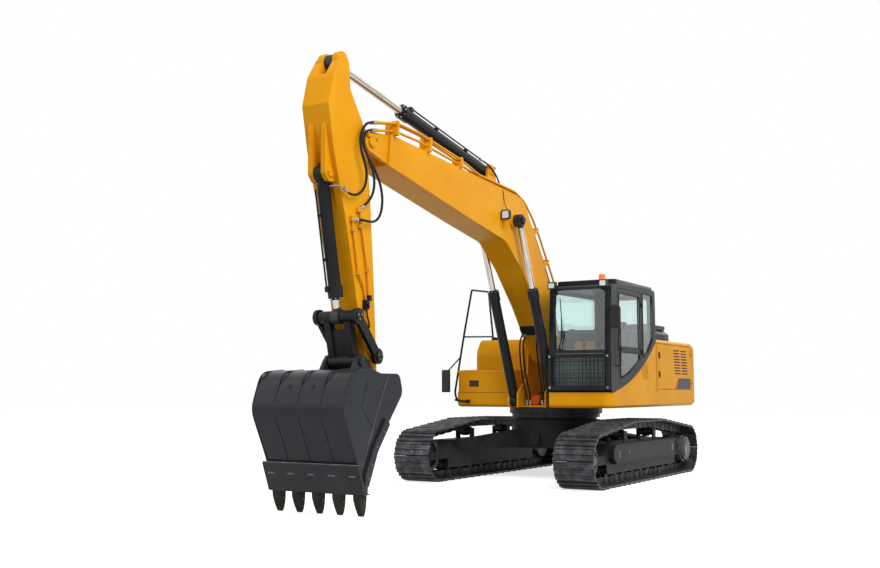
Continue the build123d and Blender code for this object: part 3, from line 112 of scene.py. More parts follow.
class Finish:
    """One material, built from nodes that node() adds and joins."""

    def __init__(self, name):
        self.material = bpy.data.materials.new(name)
        self.material.use_nodes = True
        self.tree = self.material.node_tree
        self.tree.nodes.clear()
        self.place = self.node("ShaderNodeTexCoord", output="Object")

    def node(self, kind, settings=None, inputs=None, output=0):
        """A node of a type, its settings first, then its inputs by name or number: values or wires."""
        made = self.tree.nodes.new(kind)
        for name, value in (settings or {}).items():
            if name == "stops":
                ramp = made.color_ramp
                while len(ramp.elements) < len(value):
                    ramp.elements.new(1.0)
                for element, (position, colour) in zip(ramp.elements, value):
                    element.position = position
                    element.color = colour if hasattr(colour, "__len__") else (colour, colour, colour, 1.0)
            else:
                setattr(made, name, value)
        for key, value in (inputs or {}).items():
            if isinstance(value, Wire):
                self.tree.links.new(value.socket, made.inputs[key])
            else:
                made.inputs[key].default_value = value
        return Wire(self, made.outputs[output])

    def noise(self, scale, detail, roughness=0.5, place=None):
        """Cloudy grey pattern: how fine it is, how many finer layers lie on it and how strong they are."""
        return self.node("ShaderNodeTexNoise", {"noise_dimensions": "3D"},
                         {"Vector": place or self.place, "Scale": scale, "Detail": detail,
                          "Roughness": roughness, "Distortion": 0.0})

    def steps(self, value, *stops):
        """A value passed through a ramp of (position, grey or colour) stops."""
        return self.node("ShaderNodeValToRGB", {"stops": stops}, {"Fac": value})

    def patches(self, scale, detail, low, high, roughness=0.5):
        """Cloudy patches: 0 where the noise is under one level, 1 where it is over another."""
        return self.steps(self.noise(scale, detail, roughness), (low, 0.0), (high, 1.0))

    def blend(self, share, first, second):
        """Two colours mixed by a share."""
        return self.node("ShaderNodeMix", {"data_type": "RGBA", "blend_type": "MIX"},
                         {0: share, 6: first, 7: second}, output=2)

    def stretched(self, scale):
        """Object coordinates scaled by three numbers."""
        return self.node("ShaderNodeMapping", None, {"Vector": self.place, "Scale": scale})

    def upward(self):
        """1 on faces that look up, 0 on upright ones, below 0 underneath."""
        normal = self.node("ShaderNodeNewGeometry", output="Normal")
        return self.node("ShaderNodeSeparateXYZ", None, {0: normal}, output=2)

    def turned_by(self, normal):
        """How far a normal is turned from the face's own: 0 on a flat, up to 1 across an edge."""
        flat = self.node("ShaderNodeNewGeometry", output="Normal")
        return 1 - self.node("ShaderNodeVectorMath", {"operation": "DOT_PRODUCT"}, {0: flat, 1: normal}, output=1)

    def eased(self, radius):
        """The normal of the surface with its edges eased by a radius."""
        return self.node("ShaderNodeBevel", {"samples": 4}, {"Radius": radius})

    def from_pin(self, x, z):
        """Distance from an axis across the machine at (x, z)."""
        flat = self.node("ShaderNodeVectorMath", {"operation": "MULTIPLY"}, {0: self.place, 1: (1.0, 0.0, 1.0)})
        return self.node("ShaderNodeVectorMath", {"operation": "DISTANCE"}, {0: flat, 1: (x, 0.0, z)}, output=1)

    def height(self):
        """Height above the ground."""
        return self.node("ShaderNodeSeparateXYZ", None, {0: self.place}, output=2)

    def bump(self, height, depth, strength, under=None):
        """A normal pushed about by a height pattern, on top of another normal if one is given."""
        inputs = {"Height": height, "Distance": depth, "Strength": strength}
        if under is not None:
            inputs["Normal"] = under
        return self.node("ShaderNodeBump", None, inputs)

    def surface(self, **sockets):
        """The Principled shader on the output; underscores in socket names stand for spaces."""
        inputs = {name.replace("_", " "): value for name, value in sockets.items()}
        shader = self.node("ShaderNodeBsdfPrincipled", None, inputs)
        self.node_output(shader)
        return self.material

    def node_output(self, shader):
        """Join a shader to the material's output."""
        end = self.tree.nodes.new("ShaderNodeOutputMaterial")
        self.tree.links.new(shader.socket, end.inputs["Surface"])


def rgb(red, green, blue):
    """Colour as it appears on a screen, 0 to 255, made linear."""
    linear = [v / 255 / 12.92 if v <= 10 else ((v / 255 + 0.055) / 1.055) ** 2.4 for v in (red, green, blue)]
    return (*linear, 1.0)


DUST = rgb(150, 138, 118)
EARTH = rgb(92, 80, 66)
RUBBED_EDGE = rgb(118, 112, 104)
EYE_BLACK = rgb(38, 38, 41)


# ------------------------------------------------------------------ finishes
def paint(name, colour, shade, roughness, dust=0.12, low_dust=0.25, grain=0.0002, gloss=0.04, chips=0.25):
    """Sprayed enamel: a slight drift of shade, orange peel, rubbed edges, dust on top and low down."""
    f = Finish(name)
    eased = f.eased(0.006)
    drift = f.patches(1.3, 2.0, 0.3, 0.7)
    base = f.blend(drift, colour, shade)
    patches = f.patches(3.4, 6.0, 0.42, 0.75, 0.62)
    settled = f.steps(f.upward(), (0.35, 0.0), (0.9, 1.0)) * dust
    splashed = f.steps(f.height(), (0.0, 1.0), (0.9, 0.0)) * low_dust
    dirt = (settled + splashed + 0.02) * (patches * 0.8 + 0.2)
    base = f.blend(dirt, base, DUST)
    streak = f.steps(f.noise(9.0, 5.0, 0.7, place=f.stretched((1.0, 1.0, 0.12))), (0.56, 0.0), (0.8, 1.0))
    base = f.blend(streak * 0.12, base, shade)
    speckle = f.patches(46.0, 5.0, 0.50, 0.66, 0.65)
    rubbed = f.steps(f.turned_by(eased), (0.02, 0.0), (0.12, 1.0)) * speckle * chips
    base = f.blend(rubbed, base, RUBBED_EDGE)
    rough = roughness + dirt * 0.4 + speckle * 0.05 + rubbed * 0.2
    peel = f.noise(210.0, 2.0) * 0.35 + f.noise(28.0, 2.0) * 0.4 + speckle * 0.25
    return f.surface(Base_Color=base, Roughness=rough, Specular_IOR_Level=gloss,
                     Normal=f.bump(peel, grain, 0.5, eased))


def steel(name, dark, bright, roughness, metallic, wear=0.5, dirt_level=0.5, grain=0.0012):
    """Bare or worn steel: dark scale, brighter rubbed patches, ground-in earth, a pitted surface."""
    f = Finish(name)
    rubbed = f.patches(7.0, 6.0, 0.45, 0.62, 0.6)
    fine = f.patches(60.0, 4.0, 0.35, 0.7, 0.6)
    base = f.blend(rubbed * wear + fine * 0.15, dark, bright)
    earth = f.patches(4.5, 7.0, 0.48, 0.70, 0.68) * dirt_level
    base = f.blend(earth, base, EARTH)
    pits = f.noise(130.0, 4.0, 0.6) * 0.6 + fine * 0.4
    return f.surface(Base_Color=base, Roughness=roughness + earth * 0.3 - rubbed * 0.12, Specular_IOR_Level=0.22,
                     Metallic=metallic * (1 - earth), Normal=f.bump(pits, grain, 0.6))


def plated(name, pin, eye_radius):
    """Ground and plated rod, grey-brown with oil and faint grinding rings, its eye painted black."""
    f = Finish(name)
    rings = f.noise(420.0, 2.0)
    film = f.patches(5.0, 4.0, 0.4, 0.75)
    eye = f.from_pin(pin[0] + SWING_X, pin[1]) < eye_radius
    base = f.blend(film * 0.5, rgb(176, 172, 166), rgb(128, 121, 106))
    base = f.blend(eye, base, EYE_BLACK)
    return f.surface(Base_Color=base, Metallic=1 - eye, Roughness=0.16 + film * 0.16 + rings * 0.04 + eye * 0.3,
                     Specular_IOR_Level=0.3, Normal=f.bump(rings, 0.00004, 0.4))


def glazing(name):
    """Pale green safety glass with a little dust."""
    f = Finish(name)
    film = f.patches(2.2, 5.0, 0.45, 0.8, 0.6)
    base = f.blend(film * 0.3, (0.74, 0.88, 0.86, 1.0), (0.66, 0.78, 0.75, 1.0))
    return f.surface(Base_Color=base, Roughness=film * 0.06, Transmission_Weight=1.0, IOR=1.45)


def sheet(name):
    """Thin pale film on a pane, half clear, a little uneven."""
    f = Finish(name)
    haze = f.patches(3.0, 4.0, 0.35, 0.75, 0.6)
    base = f.blend(haze * 0.4, rgb(158, 184, 180), rgb(132, 158, 156))
    return f.surface(Base_Color=base, Roughness=0.22 + haze * 0.1, Alpha=0.50 + haze * 0.1)


def moulded(name, colour, roughness=0.55, grain=0.0004, scale=320.0, dust=0.2):
    """Moulded plastic or rubber with a fine leathery grain and dust in it."""
    f = Finish(name)
    leather = f.node("ShaderNodeTexVoronoi", {"feature": "F1"}, {"Vector": f.place, "Scale": scale})
    patches = f.patches(6.0, 5.0, 0.45, 0.75, 0.6)
    base = f.blend((f.steps(f.upward(), (0.2, 0.0), (1.0, 1.0)) * 0.6 + 0.2) * patches * dust, colour, DUST)
    return f.surface(Base_Color=base, Roughness=roughness + patches * 0.15, Specular_IOR_Level=0.3,
                     Normal=f.bump(leather, grain, 0.5))


def lens(name, colour, ribs=0.004, strength=0.0):
    """Coloured or clear lamp lens with moulded ribs."""
    f = Finish(name)
    wave = f.node("ShaderNodeTexWave", {"wave_type": "BANDS", "bands_direction": "Z"},
                  {"Vector": f.place, "Scale": 1 / ribs / 20, "Distortion": 0.0})
    haze = f.patches(30.0, 3.0, 0.4, 0.8)
    tint = f.blend(haze * 0.25, colour, tuple(c * 0.8 for c in colour[:3]) + (1.0,))
    return f.surface(Base_Color=tint, Roughness=0.12 + haze * 0.1, Transmission_Weight=0.35, IOR=1.49,
                     Emission_Color=colour, Emission_Strength=strength, Normal=f.bump(wave, 0.0015, 0.6))


def woven(name, colour, thread):
    """Seat cloth: two thread directions crossing, with fluff and slight fading."""
    f = Finish(name)
    across = f.node("ShaderNodeTexWave", {"bands_direction": "Y"},
                    {"Vector": f.place, "Scale": 95.0, "Distortion": 0.6})
    along = f.node("ShaderNodeTexWave", {"bands_direction": "DIAGONAL"},
                   {"Vector": f.place, "Scale": 95.0, "Distortion": 0.6})
    fluff = f.noise(240.0, 4.0, 0.7)
    base = f.blend(across * along * 0.7 + fluff * 0.3, colour, thread)
    return f.surface(Base_Color=base, Roughness=0.9, Sheen_Weight=0.3,
                     Normal=f.bump(across * 0.5 + along * 0.5 + fluff * 0.3, 0.0010, 0.7))


YELLOW = rgb(230, 160, 18)
DEEP_YELLOW = rgb(218, 146, 12)
yellow_paint = paint("amber_yellow_enamel", YELLOW, DEEP_YELLOW, 0.32)
orange_paint = paint("orange_flash", rgb(222, 92, 14), rgb(205, 80, 10), 0.34)
black_paint = paint("undercarriage_black", rgb(30, 31, 33), rgb(22, 23, 25), 0.45, dust=0.10, low_dust=0.12, gloss=0.08)
cab_paint = paint("cab_dark_grey", rgb(30, 34, 39), rgb(24, 27, 31), 0.34, dust=0.06, gloss=0.12)
hood_paint = paint("hood_dark_grey", rgb(42, 44, 52), rgb(34, 36, 42), 0.38, dust=0.12, gloss=0.2)
cylinder_paint = paint("cylinder_black", rgb(34, 35, 39), rgb(25, 26, 29), 0.30, dust=0.06, low_dust=0.1, gloss=0.10)
bucket_paint = paint("bucket_slate", rgb(36, 40, 47), rgb(28, 31, 37), 0.28, dust=0.06, low_dust=0.12, grain=0.0005,
                     gloss=0.14, chips=0.5)
tooth_paint = paint("tooth_black", rgb(34, 34, 36), rgb(25, 25, 27), 0.38, dust=0.04, low_dust=0.2, grain=0.0008,
                    chips=0.7)
shoe_steel = steel("shoe_steel", rgb(52, 52, 55), rgb(104, 104, 110), 0.42, 0.35, dirt_level=0.10)
link_steel = steel("link_steel", rgb(30, 30, 31), rgb(58, 57, 57), 0.55, 0.35, dirt_level=0.30)
disc_steel = steel("drive_cover_grey", rgb(92, 93, 95), rgb(118, 118, 118), 0.5, 0.3, wear=0.6, dirt_level=0.2)
bright_steel = steel("fastener_steel", rgb(140, 140, 138), rgb(196, 196, 193), 0.32, 0.9, dirt_level=0.1, grain=0.0003)
engine_steel = steel("engine_casting", rgb(78, 78, 80), rgb(108, 108, 110), 0.6, 0.3)
ring_steel = steel("swing_race", rgb(22, 22, 24), rgb(40, 40, 42), 0.45, 0.4, dirt_level=0.2)
pane_glass = glazing("green_safety_glass")
frosted_film = sheet("pale_sun_film")
black_plastic = moulded("black_plastic", rgb(24, 24, 27), dust=0.08)
black_rubber = moulded("black_rubber", rgb(18, 18, 19), 0.62, 0.0003, 500.0, dust=0.08)
beacon_orange = lens("beacon_orange", rgb(250, 128, 22), strength=0.35)
clear_lens = lens("clear_lens", rgb(222, 226, 230), ribs=0.006, strength=0.25)
red_lens = lens("red_lens", rgb(190, 22, 16), ribs=0.005, strength=0.1)
seat_cloth = woven("seat_cloth", rgb(30, 30, 33), rgb(56, 56, 61))
mirror_glass = steel("mirror_glass", rgb(150, 160, 165), rgb(170, 178, 182), 0.04, 1.0, wear=0.2, dirt_level=0.05,
                     grain=0.00002)

BOOM_ROD_EYE, ARM_ROD_EYE, BUCKET_ROD_EYE = (1.930, 3.830), (6.050, 5.120), (5.905, 2.190)
FINISH_OF_SLOT = {
    "body_yellow": yellow_paint, "frame_black": black_paint, "cab_black": cab_paint,
    "cylinder_black": cylinder_paint, "bucket_steel": bucket_paint, "engine_grey": engine_steel,
    "glass": pane_glass, "grey_cover": disc_steel, "mirror_black": black_plastic,
    "seat_fabric": seat_cloth, "track_steel": shoe_steel, "beacon_orange": beacon_orange,
}
FINISH_OF_NODE = {
    "engine_hood": hood_paint, "swing_ring": ring_steel, "bucket_teeth": tooth_paint,
    "track_rollers": link_steel, "carrier_rollers": link_steel, "handrail": cab_paint,
    "boom_rods": plated("boom_rod_plating", BOOM_ROD_EYE, 0.112),
    "arm_rod": plated("arm_rod_plating", ARM_ROD_EYE, 0.115),
    "bucket_rod": plated("bucket_rod_plating", BUCKET_ROD_EYE, 0.108),
}
for node_name, node in frame["nodes"].items():
    for material_slot in node.material_slots:
        slot_name = material_slot.material.name.split(".")[0]
        material_slot.material = FINISH_OF_NODE.get(node_name) or FINISH_OF_SLOT[slot_name]


# ------------------------------------------------------------------ shapes
def grid_faces(rows, columns, close_rows=False):
    """Quads of a grid of points, rows by columns: each row is a closed ring, and the last may join the first."""
    i = np.arange(rows if close_rows else rows - 1)[:, None]
    j = np.arange(columns)[None, :]
    down, right = (i + 1) % rows, (j + 1) % columns
    corners = (i * columns + j, i * columns + right, down * columns + right, down * columns + j)
    return np.stack([np.broadcast_to(c, (len(i), columns)) for c in corners], -1).reshape(-1, 4).tolist()


def flipped(faces):
    """The same faces, looking the other way."""
    return [face[::-1] for face in faces]


def winding(outline):
    """Twice the area of a flat outline: above 0 if it runs anticlockwise, below 0 if clockwise."""
    return np.sum(outline[:, 0] * np.roll(outline[:, 1], -1) - np.roll(outline[:, 0], -1) * outline[:, 1])


def box(low, foot, high, top):
    """Four corners of a rectangle, from the two lower values to the two upper ones."""
    return [(low, foot), (high, foot), (high, top), (low, top)]


def oblong(half_width, half_height):
    """Rectangle about (0, 0), for strip()."""
    return box(-half_width, -half_height, half_width, half_height)


def rounded(low, foot, high, top, cut):
    """A rectangle with its corners softened."""
    return softened(box(low, foot, high, top), cut, True)


def beyond(side, face, low, high):
    """Two levels off a side face, measured outwards, the lower one first."""
    return sorted((face + side * low, face + side * high))


class Shape:
    """Points and faces gathered into one mesh."""

    def __init__(self):
        self.points = []
        self.faces = []
        self.count = 0

    def add(self, points, faces):
        """Take in points and the faces that join them by number."""
        points = np.asarray(points, float).reshape(-1, 3)
        self.points.append(points)
        self.faces += [tuple(int(v) + self.count for v in face) for face in faces]
        self.count += len(points)
        return self

    def prism(self, outline, low, high, axis=1):
        """Outline in the two directions across an axis, carried along it from low to high, both ends closed."""
        outline = np.asarray(outline, float)
        count = len(outline)
        area = winding(outline)
        if (area < 0) == (axis == 1):
            outline = outline[::-1]
        near = np.insert(outline, axis, low, axis=1)
        far = np.insert(outline, axis, high, axis=1)
        sides = [(i, count + i, count + (i + 1) % count, (i + 1) % count) for i in range(count)]
        ends = [tuple(range(count)), tuple(range(2 * count - 1, count - 1, -1))]
        return self.add(np.vstack([near, far]), sides + ends)

    def rim(self, outline, section, level, axis=1):
        """Closed strip round a flat outline: the section's (outwards, along the axis) points go with each corner,
        moved outwards along the mean of the two edges' normals."""
        outline = np.asarray(outline, float)
        run = np.roll(outline, -1, 0) - np.roll(outline, 1, 0)
        run /= np.linalg.norm(run, axis=1)[:, None]
        area = winding(outline)
        out = np.column_stack([run[:, 1], -run[:, 0]]) * np.sign(area)
        section = np.asarray(section, float)
        flat = outline[:, None] + section[None, :, :1] * out[:, None]
        depth = np.broadcast_to(level + section[None, :, 1], flat.shape[:2])
        points = np.insert(flat, axis, depth, axis=2)
        faces = grid_faces(len(outline), len(section), True)
        if (winding(section) * area > 0) != (axis == 1):
            faces = flipped(faces)
        return self.add(points, faces)

    def turned(self, profile, start, end, count):
        """Rows of (distance from start, radius) turned about the line from start to end, ends closed."""
        profile = np.asarray(profile, float)
        start, end = np.asarray(start, float), np.asarray(end, float)
        axis = (end - start) / np.linalg.norm(end - start)
        side = np.cross(axis, (0, 0, 1) if abs(axis[2]) < 0.9 else (1, 0, 0))
        side /= np.linalg.norm(side)
        other = np.cross(axis, side)
        angle = np.arange(count) * 2 * np.pi / count
        ring = np.cos(angle)[:, None] * side + np.sin(angle)[:, None] * other
        points = start + profile[:, :1, None] * axis + profile[:, 1:, None] * ring
        last = (len(profile) - 1) * count
        faces = flipped(grid_faces(len(profile), count))
        faces += [tuple(range(count))[::-1], tuple(range(last, last + count))]
        return self.add(points, faces)

    def cap(self, profile, x, y, z, side, count=28):
        """Profile turned about the line that leaves a side face at (x, y, z)."""
        return self.turned(profile, (x, y, z), (x, y + side, z), count)

    def strip(self, section, path):
        """A closed section of (across, up) points carried along a path by frames that don't twist, ends closed."""
        section, path = np.asarray(section, float), np.asarray(path, float)
        run = np.gradient(path, axis=0)
        run /= np.linalg.norm(run, axis=1)[:, None]
        across = np.zeros_like(path)
        first = np.cross(run[0], (0, 0, 1) if abs(run[0][2]) < 0.9 else (1, 0, 0))
        across[0] = first / np.linalg.norm(first)
        for i in range(1, len(path)):
            turned_on = across[i - 1] - run[i] * (across[i - 1] @ run[i])
            across[i] = turned_on / np.linalg.norm(turned_on)
        up = np.cross(across, run)
        points = path[:, None] + section[None, :, :1] * across[:, None] + section[None, :, 1:] * up[:, None]
        count, last = len(section), (len(path) - 1) * len(section)
        ends = [tuple(range(count)), tuple(range(last, last + count))[::-1]]
        return self.add(points, grid_faces(len(path), count) + ends)

    def block(self, low, high):
        """Box between two corners."""
        (x0, y0, z0), (x1, y1, z1) = low, high
        return self.prism(box(x0, z0, x1, z1), y0, y1)

    def bar(self, start, end, radius, count=16):
        """Round bar between two points."""
        length = np.linalg.norm(np.subtract(end, start))
        return self.turned([(0, radius), (length, radius)], start, end, count)

    def tube(self, path, radius, count=12):
        """Round tube along a path."""
        return self.strip(disc((0, 0), radius, count), path)

    def pipe(self, corners, cut, radius, count=12):
        """Round tube along a path with softened corners."""
        return self.tube(softened(corners, cut), radius, count)

    def bolt(self, at, towards, size):
        """Six-sided head on a washer, standing on a face."""
        at = np.asarray(at, float)
        rows = [(-0.001, 0.9 * size), (0.15 * size, 0.9 * size), (0.15 * size, 0.55 * size), (0.7 * size, 0.55 * size)]
        return self.turned(rows, at, at + towards, 6)

    def repeat(self, small, matrices):
        """Copies of a small shape, each carried by a 4 by 4 matrix."""
        points = np.concatenate(small.points)
        for copy in np.einsum("kij,nj->kni", matrices[:, :3, :3], points) + matrices[:, None, :3, 3]:
            self.add(copy, small.faces)


BEVEL_FROM = 35  # degrees: edges flatter than this get no bevel


def placed(name, shape, body, finish, smooth=30.0, bevel=0.0):
    """One finished piece from a shape: moved to the frame's axes, smoothed, bevelled, riding on a body.

    Edges sharper than smooth degrees stay sharp, and 0 leaves every face flat."""
    points = np.concatenate(shape.points) + (SWING_X, 0.0, 0.0)
    mesh = bpy.data.meshes.new(name)
    mesh.from_pydata(points.tolist(), [], shape.faces)
    mesh.update()
    piece = bpy.data.objects.new(name, mesh)
    bpy.context.scene.collection.objects.link(piece)
    mesh.materials.append(finish)
    if bevel:
        edge = piece.modifiers.new("edge", "BEVEL")
        edge.width, edge.segments, edge.limit_method = bevel, 2, "ANGLE"
        edge.angle_limit = math.radians(BEVEL_FROM)
    if smooth:
        mesh.shade_smooth()
        mesh.set_sharp_from_angle(angle=math.radians(smooth))
    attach(piece, body)
    return piece


def softened(points, cut, closed=False, steps=6):
    """Corners turned into parabolic bends: each starts a cut before its corner and ends a cut after it,
    and a point on it is the two ends and the corner weighted (1-t)^2, t^2 and 2t(1-t)."""
    points = np.asarray(points, float)
    t = np.linspace(0, 1, steps)[:, None]
    last = len(points)
    line = []
    for i in range(last):
        if not closed and i in (0, last - 1):
            line.append(points[i:i + 1])
            continue
        before, corner, after = points[i - 1], points[i], points[(i + 1) % last]
        back, on = before - corner, after - corner
        reach = min(cut, 0.45 * np.linalg.norm(back), 0.45 * np.linalg.norm(on))
        start, end = corner + back / np.linalg.norm(back) * reach, corner + on / np.linalg.norm(on) * reach
        line.append((1 - t) ** 2 * start + 2 * t * (1 - t) * corner + t ** 2 * end)
    return np.vstack(line)


def disc(centre, radius, count):
    """Points of a circle about two values."""
    angle = np.arange(count) * 2 * np.pi / count
    return np.column_stack([centre[0] + radius * np.cos(angle), centre[1] + radius * np.sin(angle)])


# ------------------------------------------------------------------ tracks
TRACK_HALF_GAUGE = 1.295
TRACK_LENGTH = 4.640
SHOE_WIDTH = 0.600
SHOE_COUNT = 48
# heights, outwards from the wheels: link rails, shoe plate, middle grouser
LINK = 0.105
PLATE = 0.012
GROUSER = 0.026
WRAP = 0.392  # radius of the belt's outside round an end wheel, and height of the wheels' axes
TREAD = WRAP - GROUSER - PLATE - LINK
WHEEL_X = TRACK_LENGTH / 2 - WRAP
CARRIERS = ((0.680, 0.720), (-0.580, 0.720))
CARRIER_RADIUS = 0.062


def belt_line(height, count):
    """Points and outward directions at equal steps round the belt, at a height over the link rails.

    The belt is the tight band round four circles: in each direction it touches the circle
    whose centre plus radius reaches furthest that way."""
    angle = np.linspace(0, 2 * np.pi, 3601)
    out = np.column_stack([np.cos(angle), np.sin(angle)])
    centres = np.array([(WHEEL_X, WRAP), (-WHEEL_X, WRAP), *CARRIERS])
    radii = np.array([TREAD, TREAD, CARRIER_RADIUS, CARRIER_RADIUS]) + height
    reach = out @ centres.T + radii
    best = reach.argmax(1)
    line = centres[best] + radii[best][:, None] * out
    length = np.concatenate([[0], np.cumsum(np.linalg.norm(np.diff(line, axis=0), axis=1))])
    at = (np.arange(count) + 0.5) / count * length[-1]
    ahead = np.column_stack([np.interp((at + 0.004) % length[-1], length, line[:, k]) for k in (0, 1)])
    behind = np.column_stack([np.interp((at - 0.004) % length[-1], length, line[:, k]) for k in (0, 1)])
    along = ahead - behind
    along /= np.linalg.norm(along, axis=1)[:, None]
    return (ahead + behind) / 2, along, length[-1] / count


def shoe_matrices(y):
    """One 4 by 4 matrix a shoe: local x along the belt, y across, z outwards, from the shoe plate's foot."""
    points, along, pitch = belt_line(LINK, SHOE_COUNT)
    matrices = np.zeros((SHOE_COUNT, 4, 4))
    matrices[:, 0, 0], matrices[:, 2, 0] = along[:, 0], along[:, 1]
    matrices[:, 1, 1] = -1
    matrices[:, 0, 2], matrices[:, 2, 2] = along[:, 1], -along[:, 0]
    matrices[:, 0, 3], matrices[:, 1, 3], matrices[:, 2, 3] = points[:, 0], y, points[:, 1]
    matrices[:, 3, 3] = 1
    return matrices, pitch


def shoe_outline(pitch):
    """A shoe's section along the belt: plate with a turned-down lip and three tapered grousers."""
    half = pitch / 2
    top = PLATE
    rows = [(-half + 0.002, 0.0), (-half + 0.002, top + 0.004)]
    low_bar = GROUSER - 0.008
    for centre, height in ((-half + 0.020, low_bar), (0.0, GROUSER), (half - 0.024, low_bar)):
        rows += [(centre - 0.012, top), (centre - 0.006, top + height), (centre + 0.006, top + height),
                 (centre + 0.012, top)]
    rows += [(half - 0.004, top - 0.002), (half + 0.006, top - 0.008), (half + 0.006, top - 0.014), (half - 0.006, 0.0)]
    return rows


def track(name, y):
    """Shoes of one track, with four bolts in each row between the grousers."""
    shoes = Shape()
    matrices, pitch = shoe_matrices(y)
    shoes.repeat(Shape().prism(shoe_outline(pitch), -SHOE_WIDTH / 2, SHOE_WIDTH / 2), matrices)
    sides = [(i, (i + 1) % 6, 6 + (i + 1) % 6, 6 + i) for i in range(6)]
    for x in (-0.030, 0.032):
        for across in (-0.105, -0.045, 0.045, 0.105):
            base = np.insert(disc((x, across), 0.015, 6), 2, PLATE - 0.001, axis=1)
            head = base + (0, 0, 0.013)
            shoes.repeat(Shape().add(np.vstack([base, head]), sides + [(6, 7, 8, 9, 10, 11)]), matrices)
    return placed(name, shoes, "undercarriage", shoe_steel, smooth=25.0)


def chain(name, y):
    """Two rows of links under the shoes, each link stepped at its ends, with pins across."""
    links = Shape()
    matrices, pitch = shoe_matrices(y)
    half = pitch / 2
    outline = [(-half - 0.030, -0.020), (-half - 0.022, -0.062), (-half + 0.020, -0.098), (-half + 0.050, -0.105),
               (half - 0.050, -0.105), (half - 0.020, -0.098), (half + 0.022, -0.062), (half + 0.030, -0.020),
               (half - 0.012, -0.002), (-half + 0.012, -0.002)]
    for low, high in ((-0.096, -0.054), (0.054, 0.096)):
        links.repeat(Shape().prism(outline, low, high), matrices)
    links.repeat(Shape().prism(disc((half, -0.052), 0.024, 10), -0.104, 0.104), matrices)
    return placed(name, links, "undercarriage", link_steel, smooth=25.0)


for side_name, side in (("left", 1), ("right", -1)):
    shoes_piece = track(f"track_shoes_{side_name}", side * TRACK_HALF_GAUGE)
    chain(f"track_chain_{side_name}", side * TRACK_HALF_GAUGE)
    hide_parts(f"track_{side_name}")


# ------------------------------------------------------------------ boom
BOOM_HALF = 0.215  # half the boom's width
# back edge of the boom's pipe duct, from the foot over the crest: x, z
DUCT_LINE = ((0.200, 1.995), (0.420, 2.490), (0.650, 2.975), (1.100, 3.600), (1.500, 4.160), (1.640, 4.215),
             (1.980, 4.252), (2.990, 4.3105))
DUCT_FOOT = ((2.990, 4.290), (1.700, 4.205), (1.610, 4.100), (1.500, 3.960), (0.900, 3.040), (0.225, 2.000))
duct = Shape()
duct.prism(np.vstack([softened(DUCT_LINE, 0.12), DUCT_FOOT]), -BOOM_HALF - 0.0003, BOOM_HALF + 0.0003)
placed("boom_back_duct", duct, "boom", yellow_paint, smooth=30)

# oil pipes over the boom's back: x, z of their bends, then where the hoses to the arm start: x, y, z
BACK_RUN = ((0.430, 3.050), (0.940, 3.700), (1.200, 3.980), (1.480, 4.195))
LOW_BACK_RUN = ((0.560, 3.010), (1.010, 3.640), (1.250, 3.930), (1.480, 4.195))
TIP_STARTS = ((5.540, 0.250, 4.499), (5.540, 0.212, 4.499), (5.520, 0.206, 4.414))


def back_pipe(x, y, run, *onwards):
    """Route of a pipe up the boom's back at y, then through further corners."""
    return [(x, y, 2.870), *((bend_x, y, bend_z) for bend_x, bend_z in run), (1.800, y, 4.295), *onwards]


PIPE_ROUTES = (
    back_pipe(0.330, 0.190, BACK_RUN, (2.900, 0.190, 4.350), (3.450, 0.212, 4.455), (4.520, 0.238, 4.575),
              (5.060, 0.250, 4.590), TIP_STARTS[0]),
    back_pipe(0.330, 0.116, BACK_RUN, (2.900, 0.116, 4.350), (3.450, 0.150, 4.455), (4.520, 0.196, 4.575),
              (5.060, 0.212, 4.590), TIP_STARTS[1]),
    back_pipe(0.470, 0.153, LOW_BACK_RUN, (2.900, 0.153, 4.350), (3.450, 0.178, 4.400), (4.520, 0.204, 4.490),
              (5.060, 0.204, 4.500), TIP_STARTS[2]),
    back_pipe(0.330, -0.190, BACK_RUN, (1.990, -0.120, 4.300)),
    back_pipe(0.470, -0.153, LOW_BACK_RUN, (1.960, -0.100, 4.290)),
)
PIPE = 0.016  # radius
# clamps: foot x, z, direction along the edge, reach, y from, y to
PIPE_CLAMPS = (
    (0.845, 3.248, (0.585, 0.811), 0.236, 0.090, 0.214), (1.185, 3.722, (0.585, 0.811), 0.190, 0.090, 0.214),
    (0.845, 3.248, (0.585, 0.811), 0.236, -0.214, -0.125), (1.185, 3.722, (0.585, 0.811), 0.190, -0.214, -0.125),
    (3.454, 4.340, (0.9982, 0.0592), 0.145, 0.090, 0.240), (4.296, 4.390, (0.9982, 0.0592), 0.188, 0.090, 0.262),
    (5.085, 4.437, (0.9982, 0.0592), 0.180, 0.090, 0.275),
)
pipes = Shape()
for route in PIPE_ROUTES:
    pipes.pipe(route, 0.070, PIPE)
for x, z, (along_x, along_z), reach, y_low, y_high in PIPE_CLAMPS:
    foot, run = np.array((x, z)), np.array((along_x, along_z))
    top = foot + reach * np.array((-along_z, along_x))
    pipes.prism([foot - 0.022 * run, foot + 0.022 * run, top + 0.018 * run, top - 0.018 * run], y_low, y_high)
for route in PIPE_ROUTES[:3]:
    end, before = np.array(route[-1]), np.array(route[-2])
    back = (before - end) / np.linalg.norm(before - end)
    pipes.bar(end + 0.075 * back, end + 0.002 * back, PIPE + 0.006)
placed("boom_pipes", pipes, "boom", yellow_paint, smooth=40)

clips = Shape()
for x, z, (along_x, along_z), reach, y_low, y_high in PIPE_CLAMPS:
    top = np.array((x - along_z * (reach + 0.001), 0, z + along_x * (reach + 0.001)))
    for y in np.arange(y_low + 0.020, y_high - 0.010, 0.038):
        clips.bolt(top + (0, y, 0), (-along_z, 0, along_x), 0.012)
placed("boom_pipe_clamp_bolts", clips, "boom", bright_steel, smooth=0)

